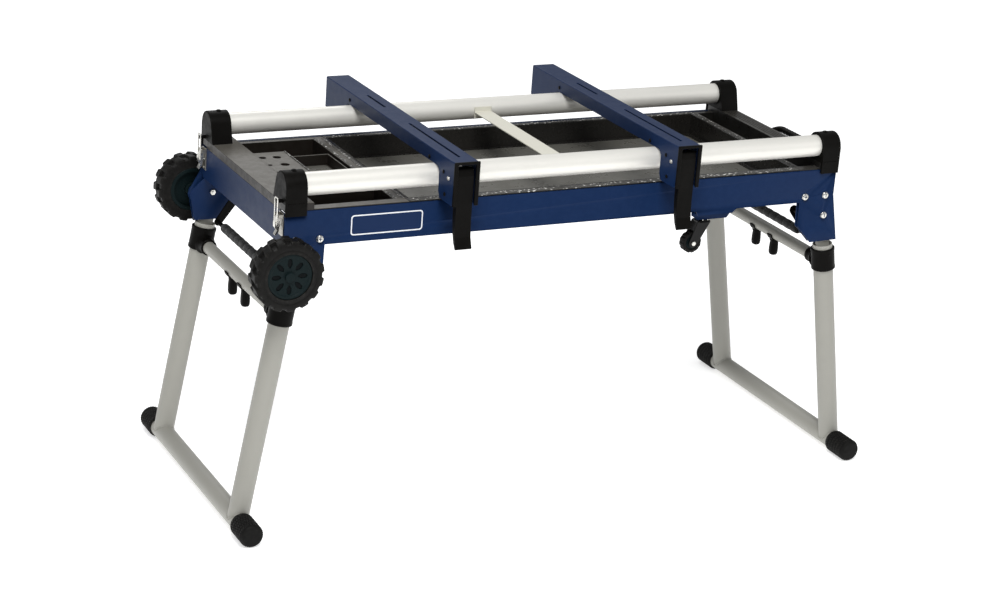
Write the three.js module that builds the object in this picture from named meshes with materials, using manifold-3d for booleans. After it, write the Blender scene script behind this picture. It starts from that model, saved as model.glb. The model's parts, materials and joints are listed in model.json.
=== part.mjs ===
// Folding, wheeled work stand: two rail tubes over a moulded tray in a sheet frame, two folding leg
// frames, two clamp-on machine arms, two road wheels and two swivel casters.
// Millimetres, +Z up, floor at z = 0, +X along the stand toward the pull handle, -Y is the front.

import * as THREE from "three";
import { mergeVertices } from "three/addons/utils/BufferGeometryUtils.js";
import Module from "manifold-3d";

const wasm = await Module();
wasm.setup();

// ---------------------------------------------------------------- driving dimensions
const GAP = 0.3; // assembly clearance between touching pieces
const RUN = 0.8; // clearance around a turning piece
const SHEET = 2.5; // frame sheet thickness

const FRAME_HALF_X = 690; // outer faces of the end panels
const RAIL_FACE_Y = 258; // outer face of the side rails
const RAIL_HEIGHT = 77;
const RAIL_FLANGE = 22;
const PANEL_DROP = 3; // end panel top below the side rail top

const TUBE_R = 25; // machine rail tubes
const TUBE_WALL = 2;
const TUBE_Y = 231;
const TUBE_RISE = 52; // tube axis above the side rail top

const LEG_LENGTH = 593; // pivot axis to foot axis
const LEG_SPLAY = 9.9; // degrees outward from vertical
const LEG_R = 23.5;
const LEG_Y = 251;
const LEG_TOP = 74.5; // pivot axis to the end of the leg tube
const PIVOT_X = 668;
const PIVOT_PIN_R = 6;
const TANG_T = 5;
const TANG_W = 36;
const TANG_REACH = 14; // solid plug that holds the tang in the tube end
const FOOT_TUBE_R = 22;
const FOOT_R = 27; // rubber foot cap
const FOOT_HALF_SPAN = 346;
const FOOT_CAP_L = 71;
const FOOT_RIBS = 14;
const FOOT_RIB_DEPTH = 1.6;

const EAR_FLARE = 33; // right ear's outer corner, across the leg
const EAR_REACH = 72; // ear outline distance from the pivot, inside the swing of the tube end
const PLATE_Y = 244; // inner face of the inner pivot plates
const PLATE_TOP = 54; // inner plate height above the rail bottom
const SPACER_R = 7;
const SPACER_X = [-58, -2]; // inboard offsets of the spacers from the pivot
const SPACER_Z = 49; // above the pivot
const BOLT_R = 8;
const BOLT_H = 4;

const CROSSBAR_R = 14.5;
const CROSSBAR_DIST = 120; // from the pivot along the leg
const CLAMP_FROM = 84;
const CLAMP_TO = 138;
const CLAMP_WALL = 5;
const CLAMP_SOCKET_R = 19;
const CLAMP_SOCKET_Y = 198;

const PEG_SPACING = 80;
const PEG_W = 22;
const PEG_T = 20;
const PEG_DROP = 56; // below the crossbar axis
const PEG_CLIP_R = 18.5;
const PEG_NUB = 5;

const BAIL_Y = 219; // outer side of the release bar arms
const BAIL_T = 4;
const BAIL_ROD_R = 5;
const BAIL_PIVOT = [-56, 4]; // inboard and up from the leg pivot
const BAIL_ROD = [-6, -64];
const GRIP_R = 11;
const GRIP_HALF = 175;

const WHEEL_R = 78;
const WHEEL_W = 48;
const WHEEL_FACE_Y = 333; // outer face of the tyre
const WHEEL_X = -703;
const WHEEL_DZ = -4; // axle height from the leg pivot
const TYRE_LUGS = 15;
const LUG_DEPTH = 5;
const HUB_R = 50;
const HUB_PETALS = 8;
const AXLE_R = 8;
const AXLE_LOBE = 19;

const CASTER_X = 371;
const CASTER_Y = 203;
const CASTER_TRAIL = 28;
const CASTER_R = 25;
const CASTER_W = 20;
const CASTER_TAB_DROP = 20; // tab underside below the rail bottom
const CASTER_LOBE_HALF = 54;
const CASTER_LOBE_RAKE = [4, 11]; // how far the lobe's two ends slope in
const HANGER_SPAN = [-46, 40]; // hanger plate either side of the kingpin
const HANGER_DROP = 32; // hanger plate's lower edge below the rail bottom
const HANGER_FOOT = [-29, 49]; // its lower edge, set outboard of the kingpin
const HANGER_HEEL = [61, 4]; // its outboard corner, out from the kingpin and above the tab
const TAB_HALF = 26;
const KINGPIN_R = 5;
const FORK_T = 3;
const CROWN_REAR = 20; // fork crown behind the kingpin, clear of a folded leg at any swivel

const CAP_W = 48;
const CAP_R = 32; // crown radius about the tube axis
const CAP_PROUD = 2; // past the end panel
const CAP_FRONT = 264;
const CAP_BACK = 188;
const CAP_SKIRT = 8; // overlap below the rail top
const CAP_BORE = 26;

const DECK_RISE = 17; // raised end strips above the rail top
const TRAY_RIM = 3;
const TRAY_WALL = 3;
const TRAY_DEPTH = 54;
const TRAY_Y = 232; // outer side of the basins
const RIM_Y = 255;
const TRAY_SPLIT_L = -405;
const TRAY_SPLIT_R = 590;
const STRIP_L_W = 63;
const STRIP_R_W = 42;
const HOLDER_W = 80;
const HOLDER_Y = [-150, 112];
const BIN_DROP = 24;
const BIN_W = 105;

const STRAP_X = -12; // cross strap between the tubes
const STRAP_W = 44;
const STRAP_T = 3;
const STRAP_TAB = 30;

const ARM_X = [-312, 236];
const ARM_W = 58;
const ARM_FRONT = 331;
const ARM_REAR = 382;
const ARM_RISE = 30; // arm top above the tube top
const JAW_Z = 67; // front jaw below the tube top
const HOOK_Z = 43; // rear hook below the tube top
const ARM_SLOTS = [
  [-294, -31],
  [102, 206],
];
const SLOT_W = 6;
const BEZEL_T = 5.5;
const BEZEL_WALL = 9;
const LEVER_PIVOT_Y = -306;
const LEVER_PIVOT_DROP = 12; // below the tube top
const LEVER_PIN_R = 4;
const LEVER_LENGTH = 152;

const LATCH_Y = 240;
const LATCH_W = 24;
const LATCH_BASE = [-52, 0]; // z range from the end panel top
const LATCH_HINGE_Z = -8;
const LATCH_HINGE_X = 9; // out from the end panel
const LATCH_LEVER_L = 42;
const LATCH_LEVER_W = 11;
const WIRE_R = 1.6;
const WIRE_OUT = 5; // wire plane outward of the lever hinge
const BAIL_ARM = 18; // lever hinge to wire hinge
const KEEPER_RISE = 8; // keeper ledge above the end strip
const KEEPER_T = 7;
const KEEPER_HALF = 3.8;
const KEEPER_SLACK = 2.5; // play between the ledge and the wire hooked over it

const HANDLE_HALF = 75;
const HANDLE_REACH = 48;
const HANDLE_R = 8;
const HANDLE_RISE = 6;

// ---------------------------------------------------------------- derived positions
const rad = (deg) => (deg * Math.PI) / 180;
const SPLAY = rad(LEG_SPLAY);
const PIVOT_Z = FOOT_R + LEG_LENGTH * Math.cos(SPLAY);
const RAIL_BOTTOM = PIVOT_Z + 35;
const RAIL_TOP = RAIL_BOTTOM + RAIL_HEIGHT;
const PANEL_TOP = RAIL_TOP - PANEL_DROP;
const DECK_TOP = RAIL_TOP + DECK_RISE;
const TUBE_Z = RAIL_TOP + TUBE_RISE;
const TUBE_TOP = TUBE_Z + TUBE_R;
const RAIL_INNER_Y = RAIL_FACE_Y - SHEET;
const PLATE_OUTER_Y = PLATE_Y + SHEET;
const CAP_OUTER_X = FRAME_HALF_X + CAP_PROUD;
const CAP_INNER_X = CAP_OUTER_X - CAP_W;
const ARM_TOP = TUBE_TOP + ARM_RISE;
const ARM_UNDER = TUBE_TOP + GAP;
const WHEEL_Z = PIVOT_Z + WHEEL_DZ;
const CASTER_Z = WHEEL_Z - WHEEL_R + CASTER_R; // casters and wheels touch the same floor when folded
const CASTER_TAB_Z = RAIL_BOTTOM - CASTER_TAB_DROP;
const LOBE_Z = PIVOT_Z + LEG_R + 2 * RUN; // caster lobe underside, clear of the leg folded level
const HANGER_Y = LEG_Y - LEG_R - RUN; // caster hanger's outer face, inboard of the folded leg
const SHIFT_Y = (FOOT_HALF_SPAN - ARM_REAR) / 2; // centres the whole stand on the origin

// ---------------------------------------------------------------- solids
function toManifold(geometry) {
  let g = geometry.clone();
  g.deleteAttribute("normal");
  g.deleteAttribute("uv");
  g = mergeVertices(g, 1e-4);
  const count = g.index.count;
  const tri = new Uint32Array(count);
  for (let i = 0; i < count; i += 1) tri[i] = g.index.getX(i);
  const vert = new Float32Array(g.attributes.position.array);
  return new wasm.Manifold(new wasm.Mesh({ numProp: 3, vertProperties: vert, triVerts: tri }));
}

function toGeometry(solid) {
  const mesh = solid.getMesh();
  const g = new THREE.BufferGeometry();
  g.setAttribute("position", new THREE.BufferAttribute(new Float32Array(mesh.vertProperties), 3));
  g.setIndex(new THREE.BufferAttribute(new Uint32Array(mesh.triVerts), 1));
  g.computeVertexNormals();
  return g;
}

function join(...solids) {
  return solids.flat().reduce((a, b) => a.add(b));
}

function cut(solid, ...tools) {
  return tools.flat().reduce((a, b) => a.subtract(b), solid);
}

function box(x0, x1, y0, y1, z0, z1) {
  const g = new THREE.BoxGeometry(Math.abs(x1 - x0), Math.abs(y1 - y0), Math.abs(z1 - z0));
  g.translate((x0 + x1) / 2, (y0 + y1) / 2, (z0 + z1) / 2);
  return toManifold(g);
}

function rod(from, to, r, seg = 24) {
  const a = new THREE.Vector3(...from);
  const b = new THREE.Vector3(...to);
  const along = b.clone().sub(a);
  const g = new THREE.CylinderGeometry(r, r, along.length(), seg);
  const turn = new THREE.Quaternion();
  turn.setFromUnitVectors(new THREE.Vector3(0, 1, 0), along.clone().normalize());
  g.applyQuaternion(turn);
  g.translate(...a.add(b).multiplyScalar(0.5).toArray());
  return toManifold(g);
}

// Outline in the X-Z plane, pushed along Y from y0 to y1.
function slabXZ(points, y0, y1) {
  const shape = new THREE.Shape(points.map(([x, z]) => new THREE.Vector2(x, z)));
  const g = new THREE.ExtrudeGeometry(shape, { depth: Math.abs(y1 - y0), bevelEnabled: false });
  g.rotateX(Math.PI / 2);
  g.translate(0, Math.max(y0, y1), 0);
  return toManifold(g);
}

// Outline in the Y-Z plane, pushed along X from x0 to x1.
function slabYZ(points, x0, x1) {
  const shape = new THREE.Shape(points.map(([y, z]) => new THREE.Vector2(y, z)));
  const g = new THREE.ExtrudeGeometry(shape, { depth: Math.abs(x1 - x0), bevelEnabled: false });
  g.rotateX(Math.PI / 2);
  g.rotateZ(Math.PI / 2);
  g.translate(Math.min(x0, x1), 0, 0);
  return toManifold(g);
}

// Ribbed ring outline about a Y axis through (x, z).
function ribbedDisc(x, z, r, depth, count, y0, y1) {
  const points = [];
  const step = (2 * Math.PI) / count;
  for (let i = 0; i < count; i += 1) {
    for (const [share, radius] of [
      [0, r],
      [0.55, r],
      [0.68, r - depth],
      [0.87, r - depth],
    ]) {
      const a = (i + share) * step;
      points.push([x + radius * Math.cos(a), z + radius * Math.sin(a)]);
    }
  }
  return slabXZ(points, y0, y1);
}

function arcPoints(x, z, r, fromDeg, toDeg, steps) {
  const points = [];
  for (let i = 0; i <= steps; i += 1) {
    const a = rad(fromDeg + ((toDeg - fromDeg) * i) / steps);
    points.push([x + r * Math.cos(a), z + r * Math.sin(a)]);
  }
  return points;
}

// Wire or bar bent along straight runs with rounded corners.
function bentRod(points, r, bend, seg, steps) {
  const path = new THREE.CurvePath();
  const at = points.map((p) => new THREE.Vector3(...p));
  let start = at[0];
  for (let i = 1; i < at.length - 1; i += 1) {
    const back = at[i - 1].clone().sub(at[i]).setLength(bend).add(at[i]);
    const on = at[i + 1].clone().sub(at[i]).setLength(bend).add(at[i]);
    path.add(new THREE.LineCurve3(start, back));
    path.add(new THREE.QuadraticBezierCurve3(back, at[i], on));
    start = on;
  }
  path.add(new THREE.LineCurve3(start, at[at.length - 1]));
  const shape = new THREE.Shape();
  for (let i = 0; i < seg; i += 1) {
    const a = (2 * Math.PI * i) / seg;
    const method = i === 0 ? "moveTo" : "lineTo";
    shape[method](r * Math.cos(a), r * Math.sin(a));
  }
  const g = new THREE.ExtrudeGeometry(shape, { steps, extrudePath: path });
  return toManifold(g);
}

const mirrorX = (solid) => solid.mirror([1, 0, 0]);
const mirrorY = (solid) => solid.mirror([0, 1, 0]);

// ---------------------------------------------------------------- materials and collection
const LOOKS = {
  blue: [0x1f3a72, 0.45, 0.2],
  tube: [0xe2dfd6, 0.3, 0.6],
  leg: [0xb4b2aa, 0.4, 0.5],
  plastic: [0x1c1a18, 0.5, 0.0],
  deck: [0x26251f, 0.35, 0.0],
  rubber: [0x151515, 0.85, 0.0],
  hub: [0x18262a, 0.45, 0.0],
  zinc: [0xc8c8c4, 0.25, 0.9],
  foam: [0x101010, 0.95, 0.0],
};

const stand = new THREE.Group();
stand.name = "folding_machine_stand";

function place(name, look, solid) {
  const [color, roughness, metalness] = LOOKS[look];
  const material = new THREE.MeshStandardMaterial({ color, roughness, metalness });
  material.name = look;
  const mesh = new THREE.Mesh(toGeometry(solid.translate([0, SHIFT_Y, 0])), material);
  mesh.name = name;
  stand.add(mesh);
}

// ---------------------------------------------------------------- leg frame (right hand, +X)
const DOWN = [Math.sin(SPLAY), -Math.cos(SPLAY)]; // along the leg from the pivot
const ACROSS = [Math.cos(SPLAY), Math.sin(SPLAY)]; // outboard, square to the leg

function onLeg(distance, across = 0) {
  return [
    PIVOT_X + DOWN[0] * distance + ACROSS[0] * across,
    PIVOT_Z + DOWN[1] * distance + ACROSS[1] * across,
  ];
}

function atY([x, z], y) {
  return [x, y, z];
}

function legFrame() {
  const foot = onLeg(LEG_LENGTH);
  const spanY = FOOT_HALF_SPAN - CLAMP_WALL - GAP;
  const parts = [rod(atY(foot, -spanY), atY(foot, spanY), FOOT_TUBE_R)];
  const bores = [rod(atY(foot, -spanY - 5), atY(foot, spanY + 5), FOOT_TUBE_R - TUBE_WALL)];
  for (const side of [-1, 1]) {
    const y = side * LEG_Y;
    const half = TANG_W / 2;
    const top = arcPoints(0, 0, half, 0, 180, 10);
    const outline = top.map(([a, d]) => onLeg(-d, a));
    outline.push(onLeg(LEG_TOP + TANG_REACH, -half), onLeg(LEG_TOP + TANG_REACH, half));
    const tang = slabXZ(outline, y - TANG_T / 2, y + TANG_T / 2);
    const pivot = [PIVOT_X, PIVOT_Z];
    const hole = rod(atY(pivot, y - TANG_T), atY(pivot, y + TANG_T), PIVOT_PIN_R + GAP, 24);
    parts.push(rod(atY(onLeg(LEG_TOP), y), atY(foot, y), LEG_R));
    parts.push(cut(tang, hole));
    bores.push(rod(atY(onLeg(LEG_TOP + TANG_REACH), y), atY(foot, y), LEG_R - TUBE_WALL));
  }
  return cut(join(parts), bores);
}

function crossbar() {
  const at = onLeg(CROSSBAR_DIST);
  const half = LEG_Y - LEG_R - 2;
  const bar = rod(atY(at, -half), atY(at, half), CROSSBAR_R, 24);
  return cut(bar, rod(atY(at, -half - 5), atY(at, half + 5), CROSSBAR_R - TUBE_WALL, 16));
}

function legClamp() {
  const y = -LEG_Y;
  const at = onLeg(CROSSBAR_DIST);
  const sleeve = rod(atY(onLeg(CLAMP_FROM), y), atY(onLeg(CLAMP_TO), y), LEG_R + CLAMP_WALL);
  const socket = rod(atY(at, y), atY(at, -CLAMP_SOCKET_Y), CLAMP_SOCKET_R, 28);
  const bore = rod(atY(onLeg(CLAMP_FROM - 5), y), atY(onLeg(CLAMP_TO + 5), y), LEG_R + GAP);
  const seat = rod(atY(at, y + LEG_R), atY(at, 5 - CLAMP_SOCKET_Y), CROSSBAR_R + GAP, 28);
  return cut(join(sleeve, socket), bore, seat);
}

function footCap() {
  const [x, z] = onLeg(LEG_LENGTH);
  const end = -FOOT_HALF_SPAN;
  const inner = end + FOOT_CAP_L;
  const body = ribbedDisc(x, z, FOOT_R, FOOT_RIB_DEPTH, FOOT_RIBS, end + 4, inner);
  const face = rod([x, end, z], [x, end + 4, z], FOOT_R - 3, 28);
  const bore = rod([x, end + CLAMP_WALL, z], [x, inner + 5, z], FOOT_TUBE_R + GAP);
  return cut(join(body, face), bore);
}

function hangingPeg(y) {
  const [x, z] = onLeg(CROSSBAR_DIST);
  const half = PEG_W / 2;
  const low = z - PEG_DROP;
  const clip = rod([x, y - half, z], [x, y + half, z], PEG_CLIP_R, 24);
  const bore = rod([x, y - PEG_W, z], [x, y + PEG_W, z], CROSSBAR_R + GAP, 24);
  const bar = slabYZ(
    [
      [y - half, z],
      [y - half, low + 7],
      [y - half + 5, low],
      [y + half - 5, low],
      [y + half, low + 7],
      [y + half, z - PEG_CLIP_R - 6],
      [y + half + PEG_NUB, z - PEG_CLIP_R - 4],
      [y + half + PEG_NUB, z - PEG_CLIP_R + 1],
      [y + half, z - PEG_CLIP_R + 3],
      [y + half, z],
    ],
    x - PEG_T / 2,
    x + PEG_T / 2,
  );
  return cut(join(clip, bar), bore);
}

function releaseBar() {
  const rodAt = [PIVOT_X + BAIL_ROD[0], PIVOT_Z + BAIL_ROD[1]];
  const hingeAt = [PIVOT_X + BAIL_PIVOT[0], PIVOT_Z + BAIL_PIVOT[1]];
  const inner = BAIL_Y - BAIL_T;
  const parts = [rod(atY(rodAt, -inner - 1), atY(rodAt, inner + 1), BAIL_ROD_R, 20)];
  const lean = Math.atan2(rodAt[1] - hingeAt[1], rodAt[0] - hingeAt[0]) / rad(1);
  const arm = [
    ...arcPoints(rodAt[0], rodAt[1], 9, lean - 90, lean + 90, 8),
    ...arcPoints(hingeAt[0], hingeAt[1], 11, lean + 90, lean + 270, 8),
  ];
  for (const side of [-1, 1]) {
    parts.push(slabXZ(arm, side * inner, side * BAIL_Y));
    parts.push(rod(atY(hingeAt, side * inner), atY(hingeAt, side * (PLATE_Y - GAP)), 5, 20));
  }
  return join(parts);
}

function releaseGrip() {
  const rodAt = [PIVOT_X + BAIL_ROD[0], PIVOT_Z + BAIL_ROD[1]];
  const sleeve = rod(atY(rodAt, -GRIP_HALF), atY(rodAt, GRIP_HALF), GRIP_R, 24);
  return cut(sleeve, rod(atY(rodAt, -GRIP_HALF - 1), atY(rodAt, GRIP_HALF + 1), BAIL_ROD_R + GAP, 20));
}

// ---------------------------------------------------------------- side rails
// Lower ear outline of the right-hand end, from the rail bottom inboard, round to the outboard side.
function earOutline(outboard) {
  const end = FRAME_HALF_X - PIVOT_X;
  const points = [
    [PIVOT_X - EAR_REACH + 2, RAIL_BOTTOM],
    [PIVOT_X - EAR_REACH + 4, PIVOT_Z - 24],
    [PIVOT_X - 29, PIVOT_Z - EAR_REACH + 6],
  ];
  if (outboard) {
    points.push(onLeg(EAR_REACH - 1, 30));
    points.push(...arcPoints(-WHEEL_X, WHEEL_Z, AXLE_LOBE, -35, 35, 6));
  } else {
    points.push(onLeg(EAR_REACH - 1, EAR_FLARE));
    points.push([PIVOT_X + end, PIVOT_Z + SPACER_Z]);
  }
  return points;
}

function frontRail() {
  const right = earOutline(false);
  const left = earOutline(true).map(([x, z]) => [-x, z]);
  const tabZ = CASTER_TAB_Z;
  const lobe = [
    [CASTER_X + CASTER_LOBE_HALF, RAIL_BOTTOM],
    [CASTER_X + CASTER_LOBE_HALF - CASTER_LOBE_RAKE[1], LOBE_Z],
    [CASTER_X - CASTER_LOBE_HALF + CASTER_LOBE_RAKE[0], LOBE_Z],
    [CASTER_X - CASTER_LOBE_HALF, RAIL_BOTTOM],
  ];
  const outline = [
    [-FRAME_HALF_X, RAIL_TOP],
    [-FRAME_HALF_X, RAIL_BOTTOM + 22],
    ...left.reverse(),
    ...lobe.reverse(),
    ...right,
    [FRAME_HALF_X, RAIL_TOP],
  ];
  const face = -RAIL_FACE_Y;
  const inside = -RAIL_INNER_Y;
  const web = slabXZ(outline, face, inside);
  const half = FRAME_HALF_X - SHEET - GAP;
  const short = PIVOT_X - EAR_REACH - 6;
  const flange = box(-half, half, inside, inside + RAIL_FLANGE, RAIL_TOP - SHEET, RAIL_TOP);
  const lip = box(-short, short, inside, inside + 15, RAIL_BOTTOM, RAIL_BOTTOM + SHEET);
  const [from, to] = HANGER_SPAN.map((dx) => CASTER_X + dx);
  const ledge = box(from, to, inside, SHEET - HANGER_Y, LOBE_Z, LOBE_Z + SHEET);
  const low = RAIL_BOTTOM - HANGER_DROP;
  const hanger = [
    [from, LOBE_Z + SHEET],
    [from, tabZ],
    [CASTER_X + HANGER_FOOT[0], low],
    [CASTER_X + HANGER_FOOT[1], low],
    [CASTER_X + HANGER_HEEL[0], tabZ + HANGER_HEEL[1]],
    [to, LOBE_Z + SHEET],
  ];
  const plate = slabXZ(hanger, -HANGER_Y, SHEET - HANGER_Y);
  const tab = box(CASTER_X - TAB_HALF, CASTER_X + TAB_HALF, -HANGER_Y, 25 - CASTER_Y, tabZ, tabZ + SHEET + 1);
  const tabHole = rod([CASTER_X, -CASTER_Y, tabZ - 5], [CASTER_X, -CASTER_Y, tabZ + 9], KINGPIN_R + GAP, 24);
  const parts = [web, flange, lip, ledge, plate, tab];
  for (const [x, z] of boltPlaces()) {
    for (const side of [-1, 1]) {
      parts.push(rod([side * x, face - BOLT_H, z], [side * x, face + 1, z], BOLT_R, 12));
    }
  }
  const axleHole = rod([WHEEL_X, face - 5, WHEEL_Z], [WHEEL_X, inside + 5, WHEEL_Z], AXLE_R + GAP, 24);
  return cut(join(parts), tabHole, axleHole);
}

function boltPlaces() {
  const upper = SPACER_X.map((dx) => [PIVOT_X + dx, PIVOT_Z + SPACER_Z]);
  return [...upper, [PIVOT_X, PIVOT_Z]];
}

// Inner plate that carries the leg pivot pin; the left-hand ones also carry a wheel axle.
function pivotPlate(outboard) {
  const inner = PIVOT_X - EAR_REACH + 6;
  const outer = FRAME_HALF_X - SHEET - GAP;
  const top = RAIL_BOTTOM + PLATE_TOP;
  const ear = earOutline(outboard).map(([x, z]) => [x, Math.min(z, RAIL_BOTTOM - GAP)]);
  const end = outboard ? [[outer, RAIL_BOTTOM - GAP]] : [[outer, ear.pop()[1]]];
  const points = [[inner, top], ...ear, ...end, [outer, top]];
  const parts = [slabXZ(points, -PLATE_OUTER_Y, -PLATE_Y)];
  const rest = -RAIL_INNER_Y + GAP;
  for (const dx of SPACER_X) {
    const x = PIVOT_X + dx;
    const z = PIVOT_Z + SPACER_Z;
    parts.push(rod([x, -PLATE_Y, z], [x, rest, z], SPACER_R, 16));
  }
  parts.push(rod([PIVOT_X, -PLATE_Y, PIVOT_Z], [PIVOT_X, rest, PIVOT_Z], PIVOT_PIN_R, 20));
  if (outboard) {
    const tip = -WHEEL_FACE_Y + 8;
    parts.push(rod([-WHEEL_X, -PLATE_Y, WHEEL_Z], [-WHEEL_X, tip, WHEEL_Z], AXLE_R, 24));
  }
  return join(parts);
}

function endPanel() {
  const outer = FRAME_HALF_X;
  const halfY = RAIL_INNER_Y - GAP;
  const lipY = PLATE_Y - 6;
  const web = box(outer - SHEET, outer, -halfY, halfY, RAIL_BOTTOM, PANEL_TOP);
  const topLip = box(outer - 20, outer, -lipY + 16, lipY - 16, PANEL_TOP - SHEET, PANEL_TOP);
  const lowLip = box(outer - 16, outer, -lipY, lipY, RAIL_BOTTOM, RAIL_BOTTOM + SHEET);
  return join(web, topLip, lowLip);
}

// ---------------------------------------------------------------- tray mouldings
function basin(x0, x1, y0, y1, depth, rimZ) {
  const w = TRAY_WALL;
  const outer = box(x0, x1, y0, y1, rimZ - depth, rimZ);
  return { outer, hollow: box(x0 + w, x1 - w, y0 + w, y1 - w, rimZ - depth + w, rimZ + 50) };
}

function rimPlate(x0, x1) {
  return box(x0, x1, -RIM_Y, RIM_Y, RAIL_TOP + GAP, RAIL_TOP + TRAY_RIM);
}

function mainTray() {
  const x0 = TRAY_SPLIT_L + GAP;
  const x1 = TRAY_SPLIT_R - GAP;
  const rimZ = RAIL_TOP + TRAY_RIM;
  const { outer, hollow } = basin(x0 + 6, x1 - 6, -TRAY_Y, TRAY_Y, TRAY_DEPTH, rimZ);
  return cut(join(rimPlate(x0, x1), outer), hollow);
}

function leftTray() {
  const x0 = -FRAME_HALF_X;
  const x1 = TRAY_SPLIT_L;
  const rimZ = RAIL_TOP + TRAY_RIM;
  const edge = x0 + STRIP_L_W;
  const strip = box(x0, edge + TRAY_WALL, -RIM_Y, RIM_Y, PANEL_TOP + GAP, DECK_TOP);
  const lighten = box(x0 + 3, edge - 3, -RIM_Y + 22, RIM_Y - 22, PANEL_TOP - 5, DECK_TOP - TRAY_WALL);
  const clear = [-1, 1].map((s) =>
    box(x0 - 5, edge + 9, s * (RIM_Y - 26), s * (RIM_Y + 5), PANEL_TOP - 5, RAIL_TOP + GAP),
  );
  const { outer, hollow } = basin(edge, x1 - 24, -TRAY_Y, TRAY_Y, TRAY_DEPTH, rimZ);
  const shell = cut(join(rimPlate(edge, x1), cut(strip, lighten, clear), outer), hollow);
  const [y0, y1] = HOLDER_Y;
  const floor = rimZ - TRAY_DEPTH;
  const holderX = edge + HOLDER_W;
  const holes = [
    [12, 0.86, 8],
    [45, 0.85, 9],
    [9, 0.65, 5],
    [43, 0.64, 10],
    [19, 0.22, 8],
  ].map(([dx, share, r]) => {
    const y = y0 + (y1 - y0) * share;
    return rod([edge + dx, y, DECK_TOP - 30], [edge + dx, y, DECK_TOP + 5], r, 20);
  });
  const slot = box(edge + 5, edge + 55, -45, -30, DECK_TOP - 26, DECK_TOP + 5);
  const holder = cut(box(edge, holderX, y0, y1, floor, DECK_TOP - 1), holes, slot);
  const binX = holderX + BIN_W;
  const bin = box(holderX - 1, binX, y0, y1, floor, rimZ);
  const well = box(holderX + 3, binX - 3, y0 + 4, y1 - 4, rimZ - BIN_DROP, rimZ + 20);
  return join(shell, holder, cut(bin, well));
}

function rightTray() {
  const x0 = TRAY_SPLIT_R;
  const x1 = FRAME_HALF_X;
  const rimZ = RAIL_TOP + TRAY_RIM;
  const edge = x1 - STRIP_R_W;
  const strip = box(edge - TRAY_WALL, x1, -RIM_Y, RIM_Y, PANEL_TOP + GAP, DECK_TOP);
  const lighten = box(edge, x1 - 3, -RIM_Y + 22, RIM_Y - 22, PANEL_TOP - 5, DECK_TOP - TRAY_WALL);
  const clear = [-1, 1].map((s) =>
    box(edge - 9, x1 + 5, s * (RIM_Y - 26), s * (RIM_Y + 5), PANEL_TOP - 5, RAIL_TOP + GAP),
  );
  const { outer, hollow } = basin(x0 + 8, edge, -TRAY_Y, TRAY_Y, TRAY_DEPTH / 2, rimZ);
  return cut(join(rimPlate(x0, edge), cut(strip, lighten, clear), outer), hollow);
}

// ---------------------------------------------------------------- tubes, caps, strap
function railTube(y) {
  const half = CAP_INNER_X + CAP_BORE - 1;
  const tube = rod([-half, y, TUBE_Z], [half, y, TUBE_Z], TUBE_R, 36);
  return cut(tube, rod([-half - 5, y, TUBE_Z], [half + 5, y, TUBE_Z], TUBE_R - TUBE_WALL, 24));
}

// Front right-hand corner cap; the left-hand ones add a ledge for the latch wire.
function cornerCap(keeper) {
  const base = DECK_TOP + GAP;
  const crown = arcPoints(-TUBE_Y, TUBE_Z, CAP_R, 15, 158, 14);
  const outline = [
    [-CAP_BACK, base],
    ...crown,
    [-CAP_FRONT, TUBE_Z],
    [-CAP_FRONT, RAIL_TOP - CAP_SKIRT],
    [-RAIL_FACE_Y - GAP, RAIL_TOP - CAP_SKIRT],
    [-RAIL_FACE_Y - GAP, base],
  ];
  const body = slabYZ(outline, CAP_INNER_X, CAP_OUTER_X);
  const end = CAP_INNER_X + CAP_BORE;
  const bore = rod([CAP_INNER_X - 5, -TUBE_Y, TUBE_Z], [end, -TUBE_Y, TUBE_Z], TUBE_R + GAP, 30);
  const screw = rod(
    [CAP_INNER_X + 20, -TUBE_Y, TUBE_Z + CAP_R - 4],
    [CAP_INNER_X + 20, -TUBE_Y, TUBE_Z + CAP_R + 2.5],
    5.5,
    16,
  );
  const parts = [cut(body, bore), screw];
  if (keeper) {
    const z = base + KEEPER_RISE;
    const x = CAP_OUTER_X;
    const out = x + LATCH_HINGE_X - CAP_PROUD + WIRE_OUT + WIRE_R;
    parts.push(box(x - 1, out, -LATCH_Y - KEEPER_HALF, -LATCH_Y + KEEPER_HALF, z - KEEPER_T, z));
  }
  return join(parts);
}

function crossStrap() {
  const end = TUBE_Y - TUBE_R - GAP;
  const z = TUBE_Z - 4;
  const x0 = STRAP_X - STRAP_W / 2;
  const x1 = STRAP_X + STRAP_W / 2;
  const parts = [box(x0, x1, -end, end, z, z + STRAP_T)];
  for (const side of [-1, 1]) {
    const tab = [side * (end - STRAP_T), side * end];
    parts.push(box(x0, x1, ...tab, z + STRAP_T - STRAP_TAB / 2, z + STRAP_TAB / 2));
  }
  return join(parts);
}

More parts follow.
